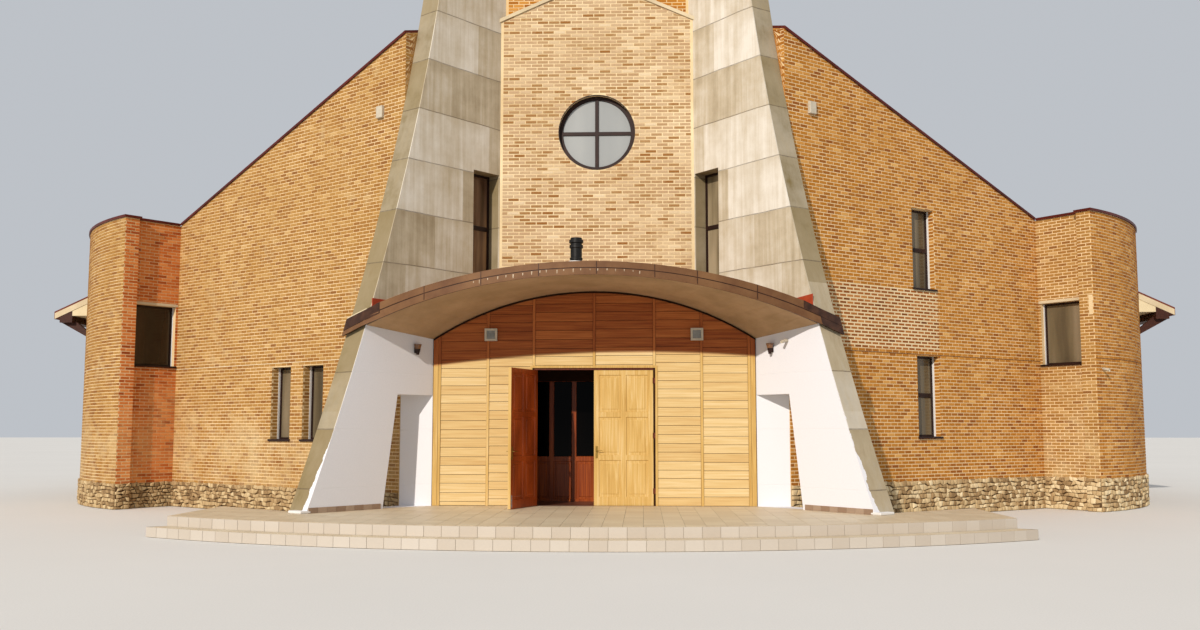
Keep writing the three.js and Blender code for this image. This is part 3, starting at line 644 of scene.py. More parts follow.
# Powder-coated window sections: matt, nearly black brown
WINDOW_METAL = Mottled(
    "coated_window_section", 0.45, 0.1, tones=pair("1C0F0B", "301B15"), patch_mm=400, grain_mm=6,
    relief=0.0002)
VENT_METAL = Mottled("black_vent_pipe", 0.4, 0.2, tones=pair("121212", "242322"), patch_mm=200)
WHITE_METAL = Mottled("white_coated_metal", 0.45, tones=pair("D8D6D0", "ECEAE6"), patch_mm=200)
STEEL = Mottled(
    "galvanised_steel", 0.4, 0.9, shine=0.5, tones=pair("7E7F80", "9B9C9C"), patch_mm=60)
BRASS = Mottled("lacquered_brass", 0.3, 0.9, shine=0.5, tones=pair("8F7030", "B3914A"), patch_mm=30)
GREY_PLASTIC = Mottled(
    "grey_moulded_plastic", 0.5, tones=pair("7C7C78", "959590"), patch_mm=60, grain_mm=4)
WHITE_PLASTIC = Mottled(
    "white_moulded_plastic", 0.45, tones=pair("B4AA96", "C4BBA8"), patch_mm=60, grain_mm=4)
LAMP_GLASS = Mottled(
    "amber_lamp_glass", 0.15, shine=0.5, tones=pair("5A3826", "8C6444"), patch_mm=80)
PLASTER = Mottled("painted_plaster", 0.9, tones=pair("C8B894", "DACBA8"))
# Pressed clay tiles, weathered: brown-red with dark and lichen-pale ones
CLAY_TILE = Mottled(
    "pressed_clay_tile", 0.75,
    tones=((0.1, "5E2C20"), (0.45, "84402E"), (0.75, "9C543E"), (1.0, "AE7358")), patch_mm=800,
    grain_mm=25, relief=0.002, attribute=True)
ROOF_FELT = Mottled("mineral_roof_felt", 0.95, tones=pair("5C4A42", "75615A"))
GLASS = Glazing(
    "curtained_window_glass", 0.12, shine=0.4,
    tones=((0.3, "4A4132"), (0.5, "675B45"), (0.7, "83755F")))
GLASS_DEEP = Glazing(
    "shaded_window_glass", 0.12, fold_mm=900,
    tones=((0.3, "170D07"), (0.5, "2C1D12"), (0.7, "46331F")))
# The slots between fin and wall take little light, so that their curtains are made paler
GLASS_SLOT = Glazing(
    "slot_window_glass", 0.12, shine=0.4, fold_mm=260,
    tones=((0.3, "5D5240"), (0.5, "807258"), (0.7, "9F8F74")))
GLASS_SLOT_DEEP = Glazing(
    "shaded_slot_window_glass", 0.12, fold_mm=260,
    tones=((0.3, "412C1C"), (0.5, "6B4E3A"), (0.7, "9E7954")))
# Pale grey glass of the round window: a painted reflection of the sky
SKY_GLASS = Glazing(
    "frosted_window_glass", 0.15, shine=0.4, tones=pair("8B8F90", "A2A5A4"), fold_mm=900)
# Nearly black: painted shade of the unlit hall behind the screen
DARK_GLASS = Glazing("dark_screen_glass", 0.1, shine=0.05, tones=pair("020202", "060403"))


# Mesh making


def deselect() -> None:
    """Clears the selection, which holds the frame's solids after loading."""
    bpy.ops.object.select_all(action="DESELECT")


class Workpiece:
    """A mesh under the tools: a primitive that is cut, inset, extruded and bevelled."""

    def __init__(self, name: str) -> None:
        """Takes the active object as the workpiece.

        Args:
            name: The finished piece's name.
        """
        self.object = bpy.context.active_object
        self.object.name = name
        self.object.data.name = name

    def coat(self, *finishes: Finish) -> "Workpiece":
        """Adds a material slot for each finish, so that faces can be given one.

        Args:
            *finishes: The finishes, in the order of their slots.

        Returns:
            The workpiece itself.
        """
        for finish in finishes:
            self.object.data.materials.append(finish.material())
        return self

    @classmethod
    def block(cls, name: str, low: Sequence[float], high: Sequence[float]) -> "Workpiece":
        """Starts from a block.

        Args:
            name: The piece's name.
            low: Lowest corner.
            high: Highest corner.

        Returns:
            The workpiece, with its place in its mesh.
        """
        deselect()
        low, high = Vector(low), Vector(high)
        bpy.ops.mesh.primitive_cube_add(size=1.0, location=(low + high) / 2)
        bpy.context.active_object.scale = high - low
        bpy.ops.object.transform_apply(location=True, rotation=True, scale=True)
        return cls(name)

    @classmethod
    def drum(cls, name: str, centre: Sequence[float], radius: float, depth: float,
             turn: tuple[float, float, float] = (0.0, 0.0, 0.0), sides: int = 24,
             tip: float | None = None) -> "Workpiece":
        """Starts from a cylinder or a truncated cone.

        Args:
            name: The piece's name.
            centre: Its middle.
            radius: Radius of its foot.
            depth: Its length.
            turn: Turn of its axis away from Z, in radians.
            sides: Number of sides.
            tip: Radius of the other end, where it tapers.

        Returns:
            The workpiece, with its place in its mesh.
        """
        deselect()
        bpy.ops.mesh.primitive_cone_add(
            vertices=sides, radius1=radius, radius2=radius if tip is None else tip, depth=depth,
            location=centre, rotation=turn)
        bpy.ops.object.transform_apply(location=True, rotation=True, scale=True)
        return cls(name)

    def edit(self) -> bmesh.types.BMesh:
        """Enters edit mode with all selected.

        Returns:
            The mesh in edit mode.
        """
        bpy.context.view_layer.objects.active = self.object
        bpy.ops.object.mode_set(mode="EDIT")
        bpy.ops.mesh.select_mode(type="FACE")
        bpy.ops.mesh.select_all(action="SELECT")
        return bmesh.from_edit_mesh(self.object.data)

    def leave(self) -> "Workpiece":
        """Goes back to object mode."""
        bpy.ops.object.mode_set(mode="OBJECT")
        return self

    def cut(self, point: Sequence[float], normal: Sequence[float], keep: bool = True) -> None:
        """Bisects the whole piece.

        Args:
            point: A point of the plane.
            normal: The plane's normal.
            keep: False clears what lies beyond the plane and closes the cut.
        """
        self.edit()
        bpy.ops.mesh.bisect(plane_co=point, plane_no=normal, clear_outer=not keep,
                            use_fill=not keep)
        self.leave()

    def slice(self, axis: int, *places: float) -> None:
        """Bisects the whole piece at places along X, Y or Z.

        Args:
            axis: 0, 1 or 2.
            *places: Where it is cut, in order.
        """
        normal = Vector([float(i == axis) for i in range(3)])
        for place in places:
            self.cut(place * normal, normal)

    def pick(self, test: Test) -> int:
        """Selects faces in edit mode by their place and normal.

        Args:
            test: Says of a face's middle and normal whether it is wanted.

        Returns:
            How many faces were selected.
        """
        mesh = self.edit()
        count = 0
        for face in mesh.faces:
            wanted = test(face.calc_center_median(), face.normal)
            face.select_set(wanted)
            count += wanted
        mesh.select_flush_mode()
        bmesh.update_edit_mesh(self.object.data)
        return count

    def inset(self, test: Test, width: float, depth: float = 0.0, slot: int | None = None) -> None:
        """Insets faces one by one.

        Args:
            test: Which faces.
            width: Width of the rim.
            depth: How far the inset face moves out; negative goes in.
            slot: Material slot of the inset faces.
        """
        if self.pick(test):
            bpy.ops.mesh.inset(thickness=width, depth=depth, use_individual=True)
            if slot is not None:
                mesh = bmesh.from_edit_mesh(self.object.data)
                for face in mesh.faces:
                    if face.select:
                        face.material_index = slot
                bmesh.update_edit_mesh(self.object.data)
        self.leave()

    def extrude(self, test: Test, move: Sequence[float], grow: float | None = None) -> None:
        """Extrudes faces together.

        Args:
            test: Which faces.
            move: How far they go.
            grow: Scale of the moved faces about their middle.
        """
        if self.pick(test):
            bpy.ops.mesh.extrude_region_move(TRANSFORM_OT_translate={"value": move})
            if grow is not None:
                bpy.ops.transform.resize(value=(grow, grow, grow))
        self.leave()

    def swell(self, low: float, high: float, amount: float) -> None:
        """Swells the sides of an upright piece between two levels.

        Args:
            low: The lower level.
            high: The upper level.
            amount: How far the sides go out.
        """
        if self.pick(lambda c, n: abs(n.z) < 0.5 and low < c.z < high):
            bpy.ops.mesh.extrude_region_shrink_fatten(TRANSFORM_OT_shrink_fatten={"value": amount})
        self.leave()

    def bevel(self, width: float, segments: int = 1) -> None:
        """Rounds every sharp edge with a modifier that is applied.

        Args:
            width: Width of the rounding.
            segments: Number of faces over it.
        """
        deselect()
        self.object.select_set(True)
        bpy.context.view_layer.objects.active = self.object
        modifier = self.object.modifiers.new("rounding", "BEVEL")
        modifier.width = width
        modifier.segments = segments
        modifier.limit_method = "ANGLE"
        modifier.harden_normals = False
        bpy.ops.object.modifier_apply(modifier=modifier.name)

    def paint(self, test: Test, slot: int) -> None:
        """Gives faces a material slot.

        Args:
            test: Which faces.
            slot: The slot's number.
        """
        for face in self.object.data.polygons:
            if test(face.center, face.normal):
                face.material_index = slot

    def move(self, matrix: Matrix) -> None:
        """Moves the mesh itself, and keeps its faces outwards where the move mirrors it.

        Args:
            matrix: The move.
        """
        self.object.data.transform(matrix)
        if matrix.determinant() < 0:
            self.object.data.flip_normals()
        self.object.data.update()


def looks_along(centre: Vector, normal: Vector) -> bool:
    """Says whether a face looks forward or back, along Y."""
    return abs(normal.y) > 0.9


def looks_out(centre: Vector, normal: Vector) -> bool:
    """Says whether a face looks along +Y, which is out of a wall in the wall's own frame."""
    return normal.y > 0.9


def looks_up(centre: Vector, normal: Vector) -> bool:
    """Says whether a face looks up."""
    return normal.z > 0.9


def in_grid(columns: Sequence[float], rows: Sequence[float], near: float = 0.01) -> Test:
    """Gives a test for the faces of a window or door whose middles are at columns and rows."""
    return lambda c, n: looks_along(c, n) and any(abs(c.x - x) < near for x in columns) and any(
        abs(c.z - z) < near for z in rows)


def place_piece(piece: bpy.types.Object, slot: str, *finishes: Finish, body: Body = Body.BUILDING,
                replaced: Sequence[str] = (), smooth: float | None = None) -> None:
    """Finishes a piece: materials, body and the solids it stands for.

    Args:
        piece: The piece, with its place in its mesh.
        slot: The record's material slot; not used.
        *finishes: One finish for each material slot of the mesh.
        body: The body that it rides on.
        replaced: Solids that it stands for.
        smooth: Angle in degrees under which edges are shaded smooth.
    """
    held = piece.data.materials
    for number, finish in enumerate(finishes):
        if number < len(held):
            held[number] = finish.material()
        else:
            held.append(finish.material())
    if smooth is not None:
        deselect()
        piece.select_set(True)
        bpy.context.view_layer.objects.active = piece
        bpy.ops.object.shade_smooth_by_angle(angle=math.radians(smooth))
    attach(piece, body.value)
    if replaced:
        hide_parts(*replaced)
    LOG.info("%s: %d faces", piece.name, len(piece.data.polygons))


def slab(name: str, low: Sequence[float], high: Sequence[float], slot: str, finish: Finish,
         matrix: Matrix | None = None, bevel: float = 0.0) -> None:
    """Makes and places a plain block, with its edges eased where bevel is given.

    Args:
        name: The piece's name.
        low: Lowest corner.
        high: Highest corner.
        slot: The record's material slot.
        finish: Its finish.
        matrix: Where it goes, when its corners are in a wall face's frame.
        bevel: Width of the eased edges.
    """
    piece = Workpiece.block(name, low, high)
    if bevel:
        piece.bevel(bevel)
    if matrix is not None:
        piece.move(matrix)
    place_piece(piece.object, slot, finish)


@dataclass(frozen=True)
class Stamp:
    """A small shape that is laid many times, kept as a unit cell: along, up and out.

    Attributes:
        points: Corner places, each from 0 to 1 on three axes.
        faces: Corner numbers of each face.
    """

    points: np.ndarray
    faces: tuple[tuple[int, ...], ...]

    @classmethod
    def take(cls, piece: Workpiece) -> "Stamp":
        """Reads a unit cell off a workpiece, and removes the workpiece.

        Args:
            piece: A mesh that fills the cell from 0 to 1.

        Returns:
            The stamp.
        """
        mesh = piece.object.data
        points = np.array([v.co for v in mesh.vertices])
        faces = tuple(tuple(p.vertices) for p in mesh.polygons)
        bpy.data.objects.remove(piece.object)
        bpy.data.meshes.remove(mesh)
        return cls(points, faces)


def brick_stamp() -> Stamp:
    """Models one brick: a block whose front face is a little smaller, as worn edges make it.

    Returns:
        The brick's stamp.
    """
    piece = Workpiece.block("brick", (0, 0, 0), (1, 1, 1))
    piece.pick(looks_up)
    bpy.ops.transform.resize(value=(0.985, 0.95, 1.0))
    return Stamp.take(piece.leave())


def tile_stamp() -> Stamp:
    """Models one flat tile: a block whose face has a narrow eased rim.

    Returns:
        The tile's stamp.
    """
    piece = Workpiece.block("tile", (0, 0, 0), (1, 1, 1))
    piece.inset(looks_up, 0.015)
    piece.pick(lambda c, n: n.z > 0.9 and abs(c.x - 0.5) < 0.1 and abs(c.y - 0.5) < 0.1)
    bpy.ops.transform.translate(value=(0, 0, 0.12))
    return Stamp.take(piece.leave())


def stone_stamp() -> Stamp:
    """Models one split stone: a block with broad rounded edges and a domed face.

    Returns:
        The stone's stamp.
    """
    piece = Workpiece.block("stone", (0, 0, 0), (1, 1, 1))
    piece.extrude(looks_up, (0, 0, 0.25), 0.72)
    piece.pick(lambda c, n: c.z > 1.05)
    bpy.ops.mesh.bevel(offset=0.11, segments=1)
    return Stamp.take(piece.leave())


def board_stamp() -> Stamp:
    """Models one board: a block whose lower edge stands out over the board below.

    Returns:
        The board's stamp.
    """
    piece = Workpiece.block("board", (0, 0, 0), (1, 1, 1))
    mesh = piece.edit()
    for vert in mesh.verts:
        if vert.co.z > 0.5 and vert.co.y > 0.5:
            vert.co.z = 0.55
    bmesh.update_edit_mesh(piece.object.data)
    return Stamp.take(piece.leave())


def pantile_stamp() -> Stamp:
    """Models one clay tile: a plate cut lengthwise and lifted into a shallow roll.

    Returns:
        The pantile's stamp.
    """
    piece = Workpiece.block("pantile", (0, 0, 0), (1, 1, 1))
    piece.slice(0, 0.25, 0.5, 0.75)
    mesh = piece.edit()
    for vert in mesh.verts:
        vert.co.z += 0.8 * math.sin(2 * math.pi * vert.co.x) + 0.8
    bmesh.update_edit_mesh(piece.object.data)
    return Stamp.take(piece.leave())


@dataclass(frozen=True)
class Face:
    """A wall face on which things are laid: u along it, v up and w out of it.

    Attributes:
        start: Plan point where u is 0, on the right-hand side of the building.
        along: Plan direction of u.
        out: Plan direction of w.
        side: Which half of the building; the left one is mirrored.
    """

    start: np.ndarray
    along: np.ndarray
    out: np.ndarray
    side: Side = Side.RIGHT

    def place(self, u: np.ndarray, v: np.ndarray, w: np.ndarray) -> np.ndarray:
        """Gives the points at u, v and w as an array with x, y and z last."""
        plan = self.start + u[..., None] * self.along + w[..., None] * self.out
        return np.stack([self.side.value * plan[..., 0], plan[..., 1], v], axis=-1)

    def matrix(self) -> Matrix:
        """Gives the matrix from (u, w, v) to the building, for a modelled piece.

        Returns:
            The matrix.
        """
        s = self.side.value
        return Matrix((
            (s * self.along[0], s * self.out[0], 0, s * self.start[0]),
            (self.along[1], self.out[1], 0, self.start[1]),
            (0, 0, 1, 0),
            (0, 0, 0, 1),
        ))

    @property
    def flips(self) -> bool:
        """Says whether the face's frame is mirrored."""
        return self.side is Side.LEFT


@dataclass(frozen=True)
class CurvedFace(Face):
    """A face on an arc: u runs round the arc from an angle off the front."""

    radius: float = SHELL_RADIUS
    turn: float = SPLAY

    def place(self, u: np.ndarray, v: np.ndarray, w: np.ndarray) -> np.ndarray:
        """Gives points of the face.

        Args:
            u: Across the face.
            v: Up it.
            w: Out of it.

        Returns:
            The points, with x, y and z last.
        """
        angle = self.turn + u / self.radius
        reach = self.radius + w
        x = self.start[0] + reach * np.sin(angle)
        y = self.start[1] - reach * np.cos(angle)
        return np.stack([self.side.value * x, y, v + 0 * x], axis=-1)


def lay(name: str, stamp: Stamp, face: Face, cells: np.ndarray, low: float,
        high: np.ndarray | float, tone: np.ndarray | float) -> bpy.types.Object:
    """Lays a stamp in many cells of a face and joins them in one mesh.

    Args:
        name: The piece's name.
        stamp: The shape.
        face: The face.
        cells: Corners of each cell as (count, 4, 2): u and v, counterclockwise from low left.
        low: Where the stamp's back is, along w.
        high: Where the fronts are, along w, for all or for each.
        tone: The tone from 0 to 1, for all or for each.

    Returns:
        The piece.
    """
    count, size = len(cells), len(stamp.points)
    a, b, c = stamp.points.T
    weights = np.stack([(1 - a) * (1 - b), a * (1 - b), a * b, (1 - a) * b])
    spots = np.einsum("kp,nkc->npc", weights, cells)
    out = low + c[None, :] * (np.broadcast_to(high, count)[:, None] - low)
    points = face.place(spots[..., 0], spots[..., 1], out).reshape(-1, 3)
    turned = [f[::-1] if face.flips else f for f in stamp.faces]
    corners = np.concatenate(turned)
    loops = (corners[None, :] + size * np.arange(count)[:, None]).ravel()
    totals = np.tile([len(f) for f in turned], count)
    mesh = bpy.data.meshes.new(name)
    mesh.vertices.add(len(points))
    mesh.vertices.foreach_set("co", points.astype(np.float32).ravel())
    mesh.loops.add(len(loops))
    mesh.loops.foreach_set("vertex_index", loops.astype(np.int32))
    mesh.polygons.add(len(totals))
    starts = np.concatenate([[0], np.cumsum(totals)[:-1]])
    mesh.polygons.foreach_set("loop_start", starts.astype(np.int32))
    mesh.update(calc_edges=True)
    mesh.shade_flat()
    attribute = mesh.attributes.new("tone", "FLOAT", "POINT")
    tones = np.repeat(np.broadcast_to(tone, count), size)
    attribute.data.foreach_set("value", tones.astype(np.float32))
    piece = bpy.data.objects.new(name, mesh)
    bpy.context.scene.collection.objects.link(piece)
    return piece


def constant(value: float) -> Level:
    """Gives a level line that is the same everywhere."""
    return lambda u: value + 0 * u


def under_roof(drop: float) -> Level:
    """Gives the roof's line over a wall across the building, lowered by drop."""
    return lambda u: RIDGE - PITCH * np.abs(u) - drop


def row_cells(cuts: Sequence[float], low: float, high: float, gap: float = 0.0) -> np.ndarray:
    """Gives the corners, (count, 4, 2), of a row of cells between cuts, less a gap at each end."""
    return np.array([[(a + gap, low), (b - gap, low), (b - gap, high), (a + gap, high)]
                     for a, b in zip(cuts, cuts[1:])])


def lay_flat(name: str, stamp: Stamp, cells: np.ndarray, low: float, high: float,
             tone: np.ndarray) -> bpy.types.Object:
    """Lays a stamp in many cells of a level plan.

    Args:
        name: The piece's name.
        stamp: The shape.
        cells: Plan corners of each cell, counterclockwise from above.
        low: Level of the undersides.
        high: Level of the tops.
        tone: A tone for each.

    Returns:
        The piece.
    """
    piece = lay(name, stamp, ENTRANCE, cells, low, high, tone)
    piece.data.transform(Matrix(((1, 0, 0, 0), (0, 0, 1, 0), (0, -1, 0, 0), (0, 0, 0, 1))))
    return piece


@dataclass
class BrickField:
    """Bricks in stretcher bond on one wall face.

    Attributes:
        span: Where the bricks run from and to along it.
        base: Level of the lowest course along the face.
        crown: Level of the top along the face.
        openings: Rectangles without bricks: u from and to, v from and to.
        bore: A round opening's u, v and radius.
        course: Height of a course with its joint.
        module: Length of a brick with its joint.
        joint: Width of the joints.
        proud: How far the bricks stand out of the wall.
        sunk: How far they reach into it.
        smallest: Length under which a cut brick is left out.
    """

    name: str
    face: Face
    span: Interval
    base: Level
    crown: Level
    finish: Finish
    openings: Sequence[Opening] = ()
    bore: tuple[float, float, float] | None = None
    seed: int = 1
    course: float = 0.075
    module: float = 0.235
    joint: float = 0.020
    proud: float = 0.006
    sunk: float = 0.004
    smallest: float = 0.03

    def strips(self, low: float, high: float) -> list[Opening]:
        """Gives the parts of a course that the openings leave.

        Args:
            low: The course's lower edge.
            high: Its upper edge.

        Returns:
            Rectangles: u from and to, v from and to.
        """
        parts = [(*self.span, low, high)]
        for u0, u1, v0, v1 in self.openings:
            rest = []
            for a, b, c, d in parts:
                if u1 <= a or u0 >= b or v1 <= c or v0 >= d:
                    rest.append((a, b, c, d))
                    continue
                rest += [(a, u0, c, d), (u1, b, c, d)]
                rest += [(max(a, u0), min(b, u1), c, v0), (max(a, u0), min(b, u1), v1, d)]
            parts = [p for p in rest if p[1] - p[0] > self.smallest and p[3] - p[2] > 0.012]
        return parts

    def bricks(self, index: int, low: float, high: float) -> list[Corners]:
        """Gives the bricks of one course.

        Args:
            index: The course's number, which sets the bond.
            low: Its lower edge.
            high: Its upper edge.

        Returns:
            Corners of each brick.
        """
        found = []
        shift = (index % 2) * self.module / 2 - self.span[0] % self.module
        for u0, u1, v0, v1 in self.strips(low, high):
            first = math.floor((u0 + shift) / self.module)
            last = math.ceil((u1 + shift) / self.module)
            for k in range(first, last + 1):
                a = max(u0, k * self.module - shift)
                b = min(u1, (k + 1) * self.module - self.joint - shift)
                if b - a > self.smallest:
                    found += self.around_bore(a, b, v0, v1)
        return found

    def around_bore(self, a: float, b: float, c: float, d: float) -> list[Corners]:
        """Cuts one brick to the round opening.

        Args:
            a: Where it starts.
            b: Where it ends.
            c: Its lower edge.
            d: Its upper edge.

        Returns:
            None, one or two bricks.
        """
        whole = [(a, c), (b, c), (b, d), (a, d)]
        if self.bore is None:
            return [whole]
        middle, level, radius = self.bore
        lower, upper = (math.sqrt(max(0.0, radius ** 2 - (v - level) ** 2)) for v in (c, d))
        if lower == 0 and upper == 0:
            return [whole]
        left = [(a, c), (min(b, middle - lower), c), (min(b, middle - upper), d), (a, d)]
        right = [(max(a, middle + lower), c), (b, c), (b, d), (max(a, middle + upper), d)]
        return [q for q in (left, right) if min(q[1][0] - q[0][0], q[2][0] - q[3][0]) > 0.008]

    def build(self, stamp: Stamp) -> None:
        """Lays the bricks.

        Args:
            stamp: The brick.
        """
        ends = np.linspace(*self.span, 60)
        bottom, top = float(self.base(ends).min()), float(self.crown(ends).max())
        quads = []
        for index in range(math.ceil((top - bottom) / self.course)):
            low = bottom + index * self.course
            quads += self.bricks(index, low, low + self.course - self.joint)
        cells = np.array(quads)
        lift, drop = self.base(cells[:, :, 0]), self.crown(cells[:, :, 0])
        cells[:, :, 1] = np.clip(cells[:, :, 1], lift, np.maximum(lift, drop))
        heights = np.stack([cells[:, 3, 1] - cells[:, 0, 1], cells[:, 2, 1] - cells[:, 1, 1]])
        cells = cells[(heights.min(0) > -1e-6) & (heights.max(0) > 0.015)]
        random = np.random.default_rng(self.seed)
        tone = np.clip(random.normal(0.50, 0.18, len(cells)), 0, 1)
        # A few bricks are burnt dark
        dark = random.random(len(cells)) < 0.04
        tone[dark] = random.uniform(0.0, 0.25, dark.sum())
        high = self.proud + random.uniform(-0.0015, 0.0015, len(cells))
        place_piece(lay(self.name, stamp, self.face, cells, -self.sunk, high, tone), "brick",
                    self.finish)


@dataclass
class StonePlinth:
    """Split stones along the foot of a wall face.

    Attributes:
        span: Where the stones run from and to along it.
        top: Level of the plinth's upper edge.
        pale: Share of the ramp of tones that the stones reach.
        gap: Half a joint.
    """

    name: str
    face: Face
    span: Interval
    top: float
    seed: int
    pale: float = 1.0
    width: float = 0.125
    height: float = 0.092
    gap: float = 0.007

    def build(self, stamp: Stamp) -> None:
        """Lays the stones in uneven rows on a dark bed, which is painted shade in the gaps.

        Args:
            stamp: The stone.
        """
        random = np.random.default_rng(self.seed)
        rows = max(2, round(self.top / self.height))
        start, end = self.span
        length = end - start
        count = max(2, round(length / self.width))
        wave = random.uniform(-0.029, 0.029, (rows + 1, count + 1))
        wave[0] = 0
        levels = np.linspace(0, self.top, rows + 1)[:, None] + wave
        cells = []
        for row in range(rows):
            cuts = start + length * np.linspace(0, 1, count + 1)
            shift = (row % 2) * 0.5 * length / count
            inner = cuts[1:-1] + shift + random.uniform(-0.036, 0.036, (2, count - 1))
            lower, upper = ([start, *np.clip(part, start, end), end] for part in inner)
            foot, head = levels[row] + self.gap, levels[row + 1] - self.gap
            for i in range(count):
                corners = [(lower[i] + self.gap, foot[i]), (lower[i + 1] - self.gap, foot[i + 1]),
                           (upper[i + 1] - self.gap, head[i + 1]), (upper[i] + self.gap, head[i])]
                if min(corners[1][0] - corners[0][0], corners[2][0] - corners[3][0]) > 0.03:
                    cells.append(corners)
        cells = np.array(cells)
        high = random.uniform(0.020, 0.042, len(cells))
        tone = self.pale * random.random(len(cells))
        piece = lay(self.name, stamp, self.face, cells, -0.01, high, tone)
        cuts = np.linspace(start, end, max(2, round(length / 0.3)))
        bed = lay(self.name.replace("stones", "bed"), brick_stamp(), self.face,
                  row_cells(cuts, 0.002, self.top), -0.004, 0.002, 0.5)
        place_piece(bed, "brick", STONE_BED)
        place_piece(piece, "brick", FIELD_STONE, smooth=50)


ACROSS = np.array([1.0, 0.0])
BACKWARD = np.array([0.0, 1.0])


def front_face(depth: float, side: Side = Side.RIGHT) -> Face:
    """Gives an upright face that looks to the front."""
    return Face(np.array([0.0, depth]), ACROSS, -BACKWARD, side)


def back_face(depth: float) -> Face:
    """Gives an upright face that looks to the back."""
    return Face(np.array([0.0, depth]), -ACROSS, BACKWARD)


def wing_face(side: Side) -> Face:
    """Gives the front face of a wing wall."""
    return Face(splayed(0, WING_FACE), OUTWARD, FORWARD, side)


def corner_face(side: Side, out: float = WING_END) -> Face:
    """Gives a face across a wing that looks towards the entrance; at 0, a fin's inner face."""
    return Face(splayed(out, 0), FORWARD, -OUTWARD, side)


def shell_face(side: Side) -> CurvedFace:
    """Gives the outer face of a curved corner wall."""
    return CurvedFace(SHELL_CENTRE, OUTWARD, FORWARD, side)


def side_face(side: Side) -> Face:
    """Gives the outer face of a side wall."""
    return Face(np.array([SIDE_FACE, 0.0]), BACKWARD, ACROSS, side)


ENTRANCE = front_face(0.0)


